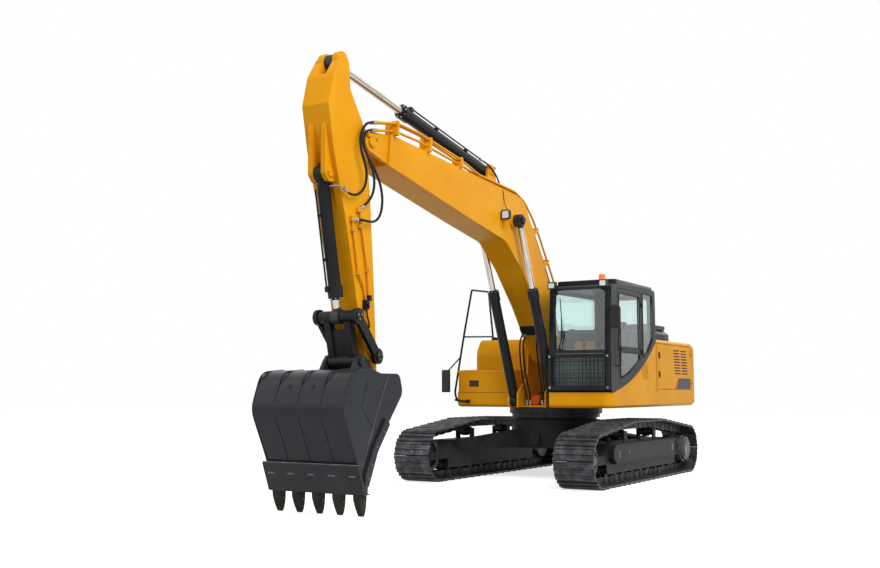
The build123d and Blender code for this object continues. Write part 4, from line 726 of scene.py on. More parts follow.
# pins, caps and keeper plates: centre x, z, radius, y of the face, thickness
BOOM_PINS = ((5.520, 4.275, 0.066, 0.196, 0.012), (2.360, 4.510, 0.058, 0.098, 0.014))
pins = Shape()
for x, z, radius, face, thick in BOOM_PINS:
    for side in (1, -1):
        y = side * face
        pins.cap([(0, radius), (thick * 0.6, radius), (thick, radius * 0.86), (thick, radius * 0.5),
                  (thick * 0.7, radius * 0.45), (thick * 0.7, 0.002)], x, y, z, side, 32)
        keeper = rounded(x - 0.115, z - 0.022, x + 0.115, z + 0.022, 0.015)
        pins.prism(keeper + (0, radius * 1.02), *beyond(side, y, -0.004, 0.010))
        for dx in (-0.095, 0.095):
            pins.bolt((x + dx, y + side * 0.010, z + radius * 1.02), (0, side, 0), 0.016)
placed("boom_pin_caps", pins, "boom", yellow_paint, smooth=35)

ROD_CAP = ((-0.004, 0.060), (0.010, 0.060), (0.022, 0.046), (0.026, 0.020), (0.026, 0.002))
rod_caps = Shape()
for side in (1, -1):
    y = side * 0.394
    rod_caps.cap(ROD_CAP, BOOM_ROD_EYE[0], y, BOOM_ROD_EYE[1], side)
placed("boom_rod_caps", rod_caps, "boom_rods", cylinder_paint)

# work lamp on the boom's left side
LAMP_X, LAMP_Y, LAMP_Z = 2.290, 0.300, 3.870
bracket = Shape().prism(box(2.225, 3.786, 2.300, 3.800), BOOM_HALF, 0.352)
bracket.prism(box(2.225, 3.700, 2.300, 3.800), BOOM_HALF, BOOM_HALF + 0.010)
placed("boom_lamp_bracket", bracket, "boom", yellow_paint, smooth=0, bevel=0.003)
lamp_outline = rounded(-0.065, -0.065, 0.065, 0.065, 0.030)
housing = Shape()
housing.prism(lamp_outline + (LAMP_Y, LAMP_Z), LAMP_X - 0.030, LAMP_X + 0.010, 0)
housing.prism(lamp_outline * 0.6 + (LAMP_Y, LAMP_Z), LAMP_X - 0.055, LAMP_X - 0.030, 0)
housing.rim(lamp_outline + (LAMP_Y, LAMP_Z), box(-0.010, -0.012, 0.004, 0.030), LAMP_X, 0)
placed("boom_lamp_housing", housing, "boom", black_plastic, smooth=30)
glass = Shape().prism(lamp_outline * 0.86 + (LAMP_Y, LAMP_Z), LAMP_X + 0.010, LAMP_X + 0.020, 0)
placed("boom_lamp_lens", glass, "boom", clear_lens, smooth=0)
wire = Shape().pipe([(2.250, 0.290, 3.925), (2.205, 0.262, 3.990), (2.200, 0.226, 4.060), (2.215, 0.221, 4.200),
                     (2.230, 0.214, 4.262), (2.225, 0.180, 4.290)], 0.03, 0.005, 8)
placed("boom_lamp_wire", wire, "boom", black_rubber)

# ------------------------------------------------------------------ hoses
# corners of the hoses' splines on the left side: x, y, z
TIP_HOSES = (
    (TIP_STARTS[0], (5.635, 0.250, 4.481), (5.732, 0.254, 4.440), (5.809, 0.258, 4.368), (5.857, 0.262, 4.269),
     (5.865, 0.266, 4.149), (5.829, 0.270, 4.040), (5.772, 0.272, 3.946), (5.744, 0.272, 3.840), (5.756, 0.268, 3.726),
     (5.810, 0.262, 3.636), (5.892, 0.254, 3.579), (5.985, 0.246, 3.559), (6.064, 0.241, 3.573), (6.130, 0.238, 3.609)),
    (TIP_STARTS[1], (5.624, 0.212, 4.483), (5.699, 0.217, 4.445), (5.757, 0.224, 4.376), (5.783, 0.231, 4.285),
     (5.769, 0.237, 4.186), (5.717, 0.241, 4.095), (5.645, 0.243, 4.012), (5.582, 0.243, 3.922), (5.544, 0.240, 3.819),
     (5.540, 0.235, 3.709), (5.576, 0.228, 3.610), (5.637, 0.220, 3.537), (5.711, 0.214, 3.485), (5.774, 0.211, 3.444)),
    (TIP_STARTS[2], (5.596, 0.208, 4.402), (5.668, 0.213, 4.370), (5.720, 0.215, 4.316), (5.742, 0.217, 4.250),
     (5.729, 0.219, 4.176), (5.687, 0.222, 4.108), (5.620, 0.226, 4.041), (5.547, 0.230, 3.965), (5.479, 0.236, 3.878),
     (5.423, 0.242, 3.777), (5.389, 0.246, 3.667), (5.385, 0.248, 3.552), (5.416, 0.250, 3.436), (5.481, 0.252, 3.353),
     (5.570, 0.252, 3.308), (5.669, 0.252, 3.298), (5.764, 0.246, 3.301), (5.849, 0.226, 3.301), (5.905, 0.212, 3.301)),
)
ARM_CYLINDER_HOSE = ((2.675, 0.088, 4.629), (2.586, 0.090, 4.614), (2.500, 0.112, 4.590), (2.402, 0.120, 4.550),
                     (2.302, 0.120, 4.498), (2.206, 0.116, 4.440), (2.122, 0.100, 4.381), (2.060, 0.084, 4.330),
                     (2.020, 0.076, 4.270))
OUTER_AHEAD, OUTER_ASIDE = 0.012, 0.055  # how far the outer foot hose lies from the inner one
FOOT_HOSE = ((0.836, 0.110, 2.222), (0.889, 0.110, 2.177), (0.924, 0.112, 2.111), (0.933, 0.115, 2.026),
             (0.920, 0.118, 1.917), (0.897, 0.120, 1.799), (0.870, 0.120, 1.682), (0.837, 0.118, 1.567),
             (0.796, 0.114, 1.454), (0.753, 0.108, 1.353), (0.722, 0.103, 1.258), (0.712, 0.101, 1.152))


def spline_line(points):
    """Points along a smooth second-degree spline that has the route's corners as its control points."""
    curve = bpy.data.curves.new("route", "CURVE")
    curve.dimensions = "3D"
    spline = curve.splines.new("NURBS")
    spline.points.add(len(points) - 1)
    for point, place in zip(spline.points, points):
        point.co = (*place, 1.0)
    spline.order_u = 3
    spline.use_endpoint_u = True
    spline.resolution_u = 8
    holder = bpy.data.objects.new("route", curve)
    bpy.context.scene.collection.objects.link(holder)
    bpy.context.view_layer.update()
    line = bpy.data.meshes.new_from_object(holder.evaluated_get(bpy.context.evaluated_depsgraph_get()))
    places = np.empty(len(line.vertices) * 3)
    line.vertices.foreach_get("co", places)
    bpy.data.objects.remove(holder)
    bpy.data.curves.remove(curve)
    bpy.data.meshes.remove(line)
    return places.reshape(-1, 3)


def hose(name, points, radius, before, after):
    """Rubber hose on a spline between two bodies, a crimped sleeve at each end."""
    path = spline_line(points)
    piece = placed(name, Shape().tube(path, radius, 14), before, black_rubber, smooth=60)
    if after != before:
        piece.parent = None
        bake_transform(piece)
    crimp = [(-0.012, radius * 0.9), (-0.012, radius + 0.007), (0.045, radius + 0.006), (0.052, radius + 0.003),
             (0.060, radius + 0.003)]
    for word, end, inner, body in (("start", path[0], path[6], before), ("end", path[-1], path[-7], after)):
        sleeve = Shape().turned(crimp, end, inner, 12)
        placed(f"{name}_{word}_sleeve", sleeve, body, bright_steel, smooth=30)


for letter, route in zip("abc", TIP_HOSES):
    hose("tip_hose_" + letter, route, 0.015, "boom", "arm")
for side_name, side in (("left", 1), ("right", -1)):
    hose("arm_cylinder_hose_" + side_name, [(x, side * y, z) for x, y, z in ARM_CYLINDER_HOSE[::-1]], 0.012,
         "boom", "arm_cylinder")
    hose("foot_hose_" + side_name, [(x, side * y, z) for x, y, z in FOOT_HOSE[::-1]], 0.015, "house", "boom")
    outer_hose = [(x + OUTER_AHEAD, side * (y + OUTER_ASIDE), z) for x, y, z in FOOT_HOSE[::-1]]
    hose("foot_hose_outer_" + side_name, outer_hose, 0.013, "house", "boom")

manifold = Shape().prism([(0.775, 2.250), (0.865, 2.357), (0.905, 2.323), (0.815, 2.216)], -0.195, 0.195)
placed("boom_foot_manifold", manifold, "boom", black_paint, smooth=0, bevel=0.004)

# ------------------------------------------------------------------ arm
ARM_FACE = 0.185  # y of the arm's left face
ARM_PIPE_LINES = (
    ((5.790, 3.432), (5.762, 3.260), (5.633, 2.740), (5.600, 2.440)),
    ((5.935, 3.301), (5.919, 3.178), (5.812, 2.690), (5.705, 2.543), (5.655, 2.380)),
)
# clamp blocks on the arm's left face: x from, x to, z from, z to
ARM_BLOCKS = (
    (5.772, 5.838, 3.392, 3.448), (5.740, 5.800, 3.210, 3.250), (5.898, 5.965, 3.270, 3.332),
    (5.890, 5.945, 3.150, 3.200), (5.612, 5.655, 2.715, 2.765), (5.790, 5.835, 2.662, 2.712),
)
arm_pipes = Shape()
for line in ARM_PIPE_LINES:
    arm_pipes.pipe([(x, ARM_FACE + 0.026, z) for x, z in line], 0.05, 0.013)
for x_low, x_high, z_low, z_high in ARM_BLOCKS:
    arm_pipes.block((x_low, ARM_FACE - 0.001, z_low), (x_high, ARM_FACE + 0.044, z_high))
placed("arm_pipes", arm_pipes, "arm", yellow_paint, smooth=30, bevel=0.003)
valves = Shape()
for x_low, x_high, z_low, z_high in ((5.570, 5.630, 2.385, 2.450), (5.618, 5.692, 2.285, 2.392)):
    valves.block((x_low, ARM_FACE - 0.001, z_low), (x_high, ARM_FACE + 0.052, z_high))
valves.bar((5.655, ARM_FACE + 0.050, 2.330), (5.655, ARM_FACE + 0.075, 2.330), 0.018)
valves.pipe([(5.640, ARM_FACE + 0.026, 2.290), (5.630, ARM_FACE + 0.030, 2.200), (5.580, ARM_FACE + 0.022, 2.120),
             (5.560, ARM_FACE + 0.004, 2.080)], 0.04, 0.010)
placed("arm_stop_valves", valves, "arm", black_paint, smooth=30, bevel=0.003)
arm_bolts = Shape()
for x_low, x_high, z_low, z_high in ARM_BLOCKS:
    for z in (z_low + 0.012, z_high - 0.012):
        arm_bolts.bolt(((x_low + x_high) / 2, ARM_FACE + 0.044, z), (0, 1, 0), 0.011)
arm_bolts.bar((5.655, ARM_FACE + 0.074, 2.330), (5.655, ARM_FACE + 0.086, 2.330), 0.012)
placed("arm_block_bolts", arm_bolts, "arm", bright_steel, smooth=0)
# pins of the arm: x, z, radius, y of the face, thickness
ARM_PINS = ((6.050, 5.120, 0.062, 0.140, 0.016), (6.240, 3.787, 0.056, 0.120, 0.014))
arm_caps = Shape()
for x, z, radius, face, thick in ARM_PINS:
    for side in (1, -1):
        y = side * face
        arm_caps.cap([(-0.02, radius), (thick * 0.6, radius), (thick, radius * 0.86), (thick, radius * 0.4),
                      (thick, 0.002)], x, y, z, side)
        for dx, dz in ((0.042, 0.0), (-0.021, 0.036), (-0.021, -0.036)):
            arm_caps.bolt((x + dx, y + side * thick, z + dz), (0, side, 0), 0.013)
placed("arm_pin_caps", arm_caps, "arm", yellow_paint, smooth=35)

# ------------------------------------------------------------------ cylinders
def along(base, eye, distance, side=0.0, out=0.0):
    """Point at a distance from a base pin towards a rod eye, set off sideways and across the line in its plane."""
    run = np.subtract(eye, base) / np.linalg.norm(np.subtract(eye, base))
    x, z = np.asarray(base) + distance * run + out * np.array((-run[1], run[0]))
    return np.array((x, side, z))


BOOM_CYLINDER = ((0.800, 1.200), BOOM_ROD_EYE)
ARM_CYLINDER = ((2.360, 4.510), ARM_ROD_EYE)
BUCKET_CYLINDER = ((6.240, 3.787), BUCKET_ROD_EYE)


def cylinder_fittings(name, line, length, y, head, body, pipes, bands):
    """Hard pipes, their clamp blocks, the gland and its ring of bolts, on one cylinder.

    line is its two pins at rest, length the barrel's, head the gland's radius, pipes the
    (sideways, out, start) of each pipe and bands how far along the clamps are."""
    fittings, bolts = Shape(), Shape()
    for side, out, start in pipes:
        fittings.tube([along(*line, d, y + side, out) for d in (start, length - 0.10)], 0.011)
        for distance in bands:
            clamp = [along(*line, d, y + side * 0.80, out * 0.80) for d in (distance, distance + 0.035)]
            fittings.strip(oblong(0.022, 0.022), clamp)
        port = [along(*line, d, y + side * 0.86, out * 0.86) for d in (length - 0.135, length - 0.075)]
        fittings.strip(oblong(0.026, 0.026), port)
    end, ahead = along(*line, length, y), along(*line, length + 0.1, y)
    run = (ahead - end) / np.linalg.norm(ahead - end)
    sideways = np.array((0, 1.0, 0))
    upwards = np.cross(run, sideways)
    for angle in np.arange(8) * math.pi / 4 + 0.2:
        at = end + head * 0.80 * (math.cos(angle) * sideways + math.sin(angle) * upwards)
        bolts.bolt(at, run, 0.015)
    fittings.turned([(-0.004, head * 0.62), (0.018, head * 0.62), (0.024, head * 0.56)], end, ahead, 28)
    placed(name + "_pipes", fittings, body, cylinder_paint, smooth=40)
    placed(name + "_bolts", bolts, body, bright_steel, smooth=0)


for word, y in (("left", 0.330), ("right", -0.330)):
    cylinder_fittings("boom_cylinder_" + word, BOOM_CYLINDER, 1.800, y, 0.087, "boom_cylinders",
                      ((0.0, 0.098, 0.20),), (0.55, 1.15))
cylinder_fittings("arm_cylinder", ARM_CYLINDER, 2.280, 0.0, 0.097, "arm_cylinder",
                  ((0.088, 0.066, 0.32), (-0.088, 0.066, 0.32)), (0.70, 1.50))
cylinder_fittings("bucket_cylinder", BUCKET_CYLINDER, 1.410, 0.0, 0.088, "bucket_cylinder",
                  ((-0.045, 0.092, 0.17),), (0.45, 0.95))
elbow = Shape()
elbow.pipe([(6.200, 0.060, 3.640), (6.205, 0.150, 3.643), (6.190, 0.225, 3.640), (6.130, 0.238, 3.609)], 0.03, 0.011)
placed("bucket_cylinder_port", elbow, "bucket_cylinder", bright_steel, smooth=50)

# ------------------------------------------------------------------ cab
CAB_LEFT, CAB_RIGHT, CAB_FRONT = 1.420, 0.435, 1.176  # y, y and x of the cab's walls
SEAL = ((-0.010, -0.004), (0.008, -0.004), (0.008, 0.005), (-0.010, 0.005))
DOOR_PANES = (
    ((0.830, 2.810), (0.860, 2.000), (-0.045, 2.000), (-0.045, 2.810)),
    ((0.830, 1.930), (0.780, 1.530), (0.420, 1.620), (-0.045, 1.820), (-0.045, 1.930)),
)
seals = Shape()
for pane in DOOR_PANES:
    seals.rim(softened(pane, 0.05, True), SEAL, CAB_LEFT + 0.002)
placed("door_window_seals", seals, "cab_door", black_rubber, smooth=50)
door_bits = Shape()
door_bits.prism(rounded(0.700, 1.944, 0.850, 1.986, 0.015), CAB_LEFT - 0.002, CAB_LEFT + 0.010)
pull = softened([(0.835, 1.428, 1.966), (0.820, 1.462, 1.966), (0.720, 1.462, 1.966), (0.712, 1.440, 1.966)], 0.02)
door_bits.strip(oblong(0.007, 0.010), pull)
door_bits.pipe([(0.905, 1.418, 1.720), (0.905, 1.465, 1.725), (0.905, 1.465, 2.350), (0.905, 1.418, 2.355)], 0.03,
               0.011)
placed("door_handle", door_bits, "cab_door", black_plastic, smooth=40, bevel=0.002)
lock = Shape()
lock.cap([(0, 0.012), (0.004, 0.012), (0.005, 0.009), (0.005, 0.002)], 0.728, CAB_LEFT + 0.010, 1.965, 1, 16)
for z in (1.725, 2.350):
    lock.bolt((0.905, 1.4205, z), (0, 1, 0), 0.012)
placed("door_lock", lock, "cab_door", bright_steel, smooth=30)

trim = Shape()
QUARTER = ((-0.185, 2.880), (-0.640, 2.880), (-0.640, 2.180), (-0.440, 1.980), (-0.185, 1.860))
trim.rim(softened(QUARTER, 0.05, True), SEAL, CAB_LEFT + 0.002)
RIGHT_PANE = ((-0.640, 1.500), (-0.640, 2.850), (1.010, 2.830), (1.060, 1.560))
trim.rim(softened(RIGHT_PANE, 0.06, True), SEAL, CAB_RIGHT - 0.003)
trim.rim(rounded(0.560, 2.050, 1.295, 2.840, 0.05), SEAL, -0.778, 0)
placed("cab_window_seals", trim, "house", black_rubber, smooth=50)


def front_at(z):
    """X of the cab's front wall at a height: upright to the knee, then leaning back."""
    return CAB_FRONT - max(0.0, z - 1.950) * (0.056 / 0.970)


SCREEN_BAR = oblong(0.012, 0.010)
screen = Shape()
screen.block((front_at(1.93) - 0.060, 0.500, 1.905), (front_at(1.93) + 0.004, 1.350, 1.955))
for y in (0.512, 1.338):
    screen.strip(SCREEN_BAR, [(front_at(z) + 0.004, y, z) for z in (1.40, 1.95, 2.86)])
screen.strip(SCREEN_BAR, [(front_at(2.86) + 0.003, y, 2.862) for y in (0.50, 0.93, 1.35)])
wiper_arm = [(front_at(z) + 0.020, y, z) for z, y in ((1.960, 0.600), (2.150, 0.655), (2.420, 0.640))]
screen.strip(((-0.010, -0.006), (0.010, -0.006), (0.006, 0.006), (-0.006, 0.006)), wiper_arm)
blade = [(front_at(z) + 0.014, y, z) for z, y in ((2.080, 0.640), (2.420, 0.640), (2.740, 0.610))]
screen.tube(blade, 0.007, 8)
screen.bar((front_at(1.96) - 0.01, 0.600, 1.960), (front_at(1.96) + 0.034, 0.600, 1.960), 0.022)
placed("windscreen_frame_and_wiper", screen, "house", black_plastic, smooth=30)

roof = Shape()
roof_outline = rounded(-0.745, 0.450, 0.930, 1.403, 0.09)


def roof_at(x):
    """Height of the sloped roof at x."""
    return 2.980 - 0.060 * (x + 0.300) / 1.420


# the panel's rings: share of the outline, height, or None for just under the sloped roof
roof_middle = np.array((0.092, 0.927))
roof_rings = []
for share, level in ((1.00, None), (1.00, 2.998), (0.985, 3.012), (0.30, 3.019), (0.01, 3.019)):
    flat = roof_middle + (roof_outline - roof_middle) * share
    heights = roof_at(flat[:, 0]) - 0.012 if level is None else np.full(len(flat), level)
    roof_rings.append(np.column_stack([flat, heights]))
corners = len(roof_outline)
roof.add(np.vstack(roof_rings), grid_faces(5, corners) + [tuple(range(4 * corners, 5 * corners))])
for x in (-0.45, -0.10, 0.70):
    roof.strip(((-0.022, 0), (0.022, 0), (0.012, 0.010), (-0.012, 0.010)), [(x, y, 3.016) for y in (0.66, 0.93, 1.20)])
placed("cab_roof_panel", roof, "house", cab_paint, smooth=40)

rear_trim = Shape().block((-0.764, 0.470, 1.350), (-0.752, 1.385, 2.205))
placed("cab_rear_trim", rear_trim, "house", black_plastic, smooth=0)
low_pane = Shape().block((1.1760, 0.520, 1.425), (1.1785, 1.335, 1.900))
placed("lower_screen_film", low_pane, "house", frosted_film, smooth=0)

lenses, lamp_rims = Shape(), Shape()
for y in (0.510, 1.330):
    face = rounded(y - 0.050, 2.884, y + 0.050, 2.966, 0.018)
    lenses.prism(face, 1.2250, 1.2300, 0)
    lamp_rims.rim(face, [(-0.002, -0.004), (0.009, -0.004), (0.009, 0.014), (-0.002, 0.010)], 1.225, 0)
placed("cab_lamp_lenses", lenses, "house", clear_lens, smooth=0)
placed("cab_lamp_rims", lamp_rims, "house", black_plastic, smooth=40)
BEACON_RIB = ((0, 0.0545), (0.003, 0.057), (0.006, 0.057), (0.009, 0.0545))
ribs = Shape()
for z in np.arange(3.065, 3.150, 0.012):
    ribs.turned(BEACON_RIB, (0.300, 0.950, z), (0.300, 0.950, 4.0), 32)
placed("beacon_lens_ribs", ribs, "house", beacon_orange, smooth=50)

# guard over the lower windscreen: a finer mesh, its frame bolts
mesh_bars = Shape()
for y in np.arange(0.505, 1.350, 0.0295):
    mesh_bars.block((1.2045, y - 0.0022, 1.4200), (1.2085, y + 0.0022, 1.8500))
for z in np.arange(1.437, 1.850, 0.0287):
    mesh_bars.block((1.2010, 0.4905, z - 0.0022), (1.2045, 1.3545, z + 0.0022))
placed("front_guard_mesh", mesh_bars, "house", cab_paint, smooth=0)
guard_bolts = Shape()
for y in (0.463, 1.382):
    for z in (1.400, 1.860):
        guard_bolts.bolt((1.2205, y, z), (1, 0, 0), 0.018)
placed("front_guard_bolts", guard_bolts, "house", bright_steel, smooth=0)

# mirrors: rings of the left one's shell are (x, share of its outline)
MIRROR_Y, MIRROR_Z = 1.510, 2.425
mirror_outline = softened(box(MIRROR_Y - 0.076, MIRROR_Z - 0.170, MIRROR_Y + 0.076, MIRROR_Z + 0.170), 0.065, True, 8)
mirror_middle = np.array((MIRROR_Y, MIRROR_Z))
MIRROR_SHELL = ((1.188, 0.90), (1.188, 1.0), (1.215, 1.0), (1.238, 0.86), (1.246, 0.5), (1.248, 0.02))
mirror_rings = [np.insert(mirror_middle + (mirror_outline - mirror_middle) * share, 0, x, axis=1)
                for x, share in MIRROR_SHELL]
corners = len(mirror_outline)
mirror_ends = [tuple(range(corners))[::-1], tuple(range(5 * corners, 6 * corners))]
shell = Shape().add(np.vstack(mirror_rings), grid_faces(6, corners) + mirror_ends)
for z in (2.300, 2.545):
    shell.pipe([(front_at(z) - 0.010, 1.362, z), (front_at(z) + 0.045, 1.375, z), (1.212, 1.440, z),
                (1.212, 1.470, z + 0.01)], 0.03, 0.010)
mirror_piece = placed("mirror_left_head", shell, "house", black_plastic, smooth=45)
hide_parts("mirror_left")
mirror_faces = Shape().prism(mirror_middle + (mirror_outline - mirror_middle) * 0.88, 1.1850, 1.1885, 0)
mirror_faces.prism(rounded(-1.560, 1.345, -1.450, 1.675, 0.03), 0.8965, 0.9000, 0)
placed("mirror_faces", mirror_faces, "house", mirror_glass, smooth=0)

# ------------------------------------------------------------------ seat
SEAT_Y, SEAT_FLOOR = 0.9275, 1.3806


def cushion(name, centre, half, crown, pull, tilt, channels):
    """Padded block: a rounded box on a latitude and longitude grid, sines and cosines raised to powers under 1.

    Its faces are crowned by a cosine, its sides pulled in between the corners, its long edges
    raised into bolsters and sewn channels pressed across the top; tilt is in radians."""
    u, v = np.meshgrid(np.linspace(-np.pi / 2, np.pi / 2, 41)[1:-1], np.linspace(-np.pi, np.pi, 97)[:-1], indexing="ij")

    def eased(value, power):
        return np.sign(value) * np.abs(value) ** power

    x = eased(np.cos(u), 0.30) * eased(np.cos(v), 0.32)
    y = eased(np.cos(u), 0.30) * eased(np.sin(v), 0.32)
    z = eased(np.sin(u), 0.62)
    swell = 1 + crown * np.cos(x * np.pi / 2) * np.cos(y * np.pi / 2)
    waist = 1 - pull * (1 - np.abs(z)) * (np.cos(x * np.pi / 2) * np.abs(y) + np.cos(y * np.pi / 2) * np.abs(x))
    groove = sum(np.exp(-((x - place) / 0.030) ** 2) for place in channels) * 0.10 * (z > 0)
    bolster = 0.16 * np.exp(-((np.abs(y) - 0.80) / 0.16) ** 2) * (z > 0)
    local = np.stack([x * waist * half[0], y * waist * half[1], z * half[2] * (swell - groove + bolster)], -1)
    c, s = math.cos(tilt), math.sin(tilt)
    turn = np.array(((c, 0, -s), (0, 1, 0), (s, 0, c)))
    points = local @ turn.T + centre
    rows, columns = points.shape[:2]
    faces = grid_faces(rows, columns)
    low, high = points[0].mean(0), points[-1].mean(0)
    flat = np.vstack([points.reshape(-1, 3), low, high])
    last = rows * columns
    faces += [(last, (j + 1) % columns, j) for j in range(columns)]
    faces += [(last + 1, last - columns + j, last - columns + (j + 1) % columns) for j in range(columns)]
    piece = placed(name, Shape().add(flat, faces), "house", seat_cloth, smooth=180)


cushion("seat_cushion", (-0.080, SEAT_Y, SEAT_FLOOR + 0.290), (0.262, 0.245, 0.056), 0.20, 0.05, 0.07, (-0.30, 0.30))
cushion("seat_back", (-0.345, SEAT_Y, SEAT_FLOOR + 0.600), (0.285, 0.232, 0.058), 0.22, 0.05, 1.80, (-0.35, 0.0, 0.35))
cushion("seat_headrest", (-0.455, SEAT_Y, SEAT_FLOOR + 0.990), (0.088, 0.122, 0.040), 0.25, 0.04, 1.80, ())
frame_of_seat = Shape()
PEDESTAL = ((-0.33, 0), (0.13, 0), (0.10, 0.10), (0.14, 0.225), (-0.34, 0.225), (-0.30, 0.10))
pedestal = [(x, SEAT_FLOOR + z) for x, z in PEDESTAL]
frame_of_seat.prism(softened(pedestal, 0.03, True), SEAT_Y - 0.195, SEAT_Y + 0.195)
for side in (1, -1):
    frame_of_seat.pipe([(-0.30, SEAT_Y + side * 0.235, SEAT_FLOOR + 0.20),
                        (-0.355, SEAT_Y + side * 0.238, SEAT_FLOOR + 0.42),
                        (-0.30, SEAT_Y + side * 0.262, SEAT_FLOOR + 0.52),
                        (-0.04, SEAT_Y + side * 0.262, SEAT_FLOOR + 0.53)], 0.05, 0.020)
    frame_of_seat.bar((-0.435, SEAT_Y + side * 0.06, SEAT_FLOOR + 0.84),
                      (-0.455, SEAT_Y + side * 0.06, SEAT_FLOOR + 0.96), 0.008)
base_piece = placed("seat_suspension", frame_of_seat, "house", black_plastic, smooth=35, bevel=0.003)
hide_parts("seat")
# a control stick: gaiter, shaft and grip, as distance along it and radius
STICK = ((0, 0.034), (0.05, 0.026), (0.10, 0.017), (0.24, 0.014), (0.27, 0.020), (0.33, 0.024), (0.37, 0.018),
         (0.38, 0.004))
knobs = Shape()
for side in (1, -1):
    y = SEAT_Y + side * 0.345
    knobs.turned(STICK, (0.175, y, SEAT_FLOOR + 0.415), (0.190, y, SEAT_FLOOR + 0.80), 20)
placed("joysticks", knobs, "house", black_rubber, smooth=50)

# ------------------------------------------------------------------ house
SIDE = 1.420  # half the house's width
# dark blank plate low on the left door, its slanted front edge orange: x, z
plate = Shape().prism([(-1.790, 1.388), (-2.540, 1.388), (-2.540, 1.566), (-1.925, 1.566)], SIDE - 0.001, SIDE + 0.0022)
placed("left_door_plate", plate, "left_service_door", hood_paint, smooth=0)
flash = Shape().prism([(-1.700, 1.388), (-1.785, 1.388), (-1.920, 1.566), (-1.880, 1.566)], SIDE - 0.001, SIDE + 0.0020)
placed("left_door_flash", flash, "left_service_door", orange_paint, smooth=0)

# two leaning columns of louvres on each side, their openings filled with painted shade: section of a blade, off the
# face and upwards
LOUVRE = ((-0.001, 0.0235), (0.0085, 0.0150), (0.0060, 0.0135), (-0.001, 0.0190))
LOUVRE_WIDTH = 0.300
for word, side, body, latch_x in (("left", 1, "left_service_door", -0.930), ("right", -1, "right_pump_door", -1.410)):
    painted_shade, blades, latch = Shape(), Shape(), Shape()
    y_low, y_high = beyond(side, side * (SIDE - 0.034), -0.004, 0.0)
    for x_start in (-2.400, -2.020):
        # a black block set in behind each column is painted shade inside the louvres
        painted_shade.block((x_start - 0.02, y_low, 1.610), (x_start + LOUVRE_WIDTH + 0.095, y_high, 2.075))
        for row in range(9):
            z, x = 1.640 + row * 0.048, x_start + row * 0.009
            blade = [(side * (SIDE + out), z + up) for out, up in LOUVRE]
            blades.prism(blade, x - 0.004, x + LOUVRE_WIDTH + 0.004, 0)
            # a black strip on the face under each blade is painted shade in its opening
            painted_shade.prism(box(x, z - 0.008, x + LOUVRE_WIDTH, z + 0.016), *beyond(side, side * SIDE, -0.002, 0.0012))
    placed(word + "_louvre_backing", painted_shade, body, black_plastic, smooth=0)
    placed(word + "_louvre_blades", blades, body, yellow_paint, smooth=0)
    for z in (1.620, 1.930):
        latch.prism(rounded(latch_x - 0.035, z - 0.055, latch_x + 0.035, z + 0.055, 0.015),
                    *beyond(side, side * SIDE, -0.001, 0.006))
        paddle = [(latch_x - 0.014, z - 0.040), (latch_x + 0.014, z - 0.040), (latch_x + 0.010, z + 0.034),
                  (latch_x - 0.010, z + 0.034)]
        latch.prism(paddle, *beyond(side, side * SIDE, 0.006, 0.013))
    placed(word + "_door_latches", latch, body, black_plastic, smooth=20, bevel=0.0015)

# hood: a row of slots on each side, a slotted cowl and a grille on top, two grips behind
hood_bits = Shape()
for side, y in ((1, 1.200), (-1, -0.900)):
    for k in range(9):
        x = -1.860 + k * 0.085
        hood_bits.prism(rounded(x, 2.215, x + 0.045, 2.295, 0.012), *beyond(side, y, -0.004, 0.0025))
hood_bits.prism(box(-1.62, -0.50, -1.30, 0.75), 2.384, 2.3875, 2)
cowl_outline = rounded(-2.030, 0.180, -1.140, 1.170, 0.09)
cowl = Shape().prism(cowl_outline, 2.380, 2.462, 2)
placed("hood_cowl", cowl, "engine_hood", hood_paint, smooth=20, bevel=0.018)
hood_bits.block((-1.960, 1.166, 2.418), (-1.220, 1.1725, 2.442))
hood_bits.block((-1.1435, 0.280, 2.418), (-1.1370, 1.080, 2.442))
placed("hood_vents", hood_bits, "engine_hood", black_plastic, smooth=0)
grip = Shape()
for y in (-0.45, 0.75):
    grip.pipe([(-2.079, y - 0.07, 2.270), (-2.125, y - 0.07, 2.275), (-2.125, y + 0.07, 2.275),
               (-2.079, y + 0.07, 2.270)], 0.02, 0.008)
placed("hood_grips", grip, "engine_hood", cab_paint)

# tool box: badge and seam on its front, foot of the handrail beside it, then treads and caps on the tanks
badge = Shape().prism(box(-1.180, 1.420, -1.010, 1.520), 0.7345, 0.7375, 0)
badge.block((0.7345, -1.395, 1.3262), (0.7362, -0.452, 1.3325))
placed("tool_box_badge_and_seam", badge, "house", black_plastic, smooth=0)
rail_foot = Shape().pipe([(0.655, -1.445, 1.212), (0.752, -1.442, 1.206), (0.766, -1.380, 1.196),
                          (0.752, -1.210, 1.186)], 0.03, 0.016, 12)
rail_foot.bar((0.732, -1.200, 1.186), (0.768, -1.200, 1.186), 0.032)
placed("handrail_foot", rail_foot, "house", cab_paint, smooth=40)


def tread_mat(name, body, low, high, studs_x, studs_y):
    """Rubber mat between two corners, with rows of low studs."""
    mat = Shape().block(low, high)
    for x in np.arange(*studs_x, 0.030):
        for y in np.arange(*studs_y, 0.060):
            mat.prism(disc((x, y), 0.009, 6), high[2] - 0.0005, high[2] + 0.0025, 2)
    placed(name, mat, body, black_rubber, smooth=0)


tread_mat("tool_box_tread_mat", "tool_box_lid", (0.200, -1.340, 1.6845), (0.660, -0.520, 1.6880), (0.225, 0.650),
          (-1.315, -0.535))
tread_mat("tank_tread_mat", "house", (-0.560, -1.340, 2.2045), (-0.300, -0.580, 2.2075), (-0.540, -0.310),
          (-1.320, -0.590))
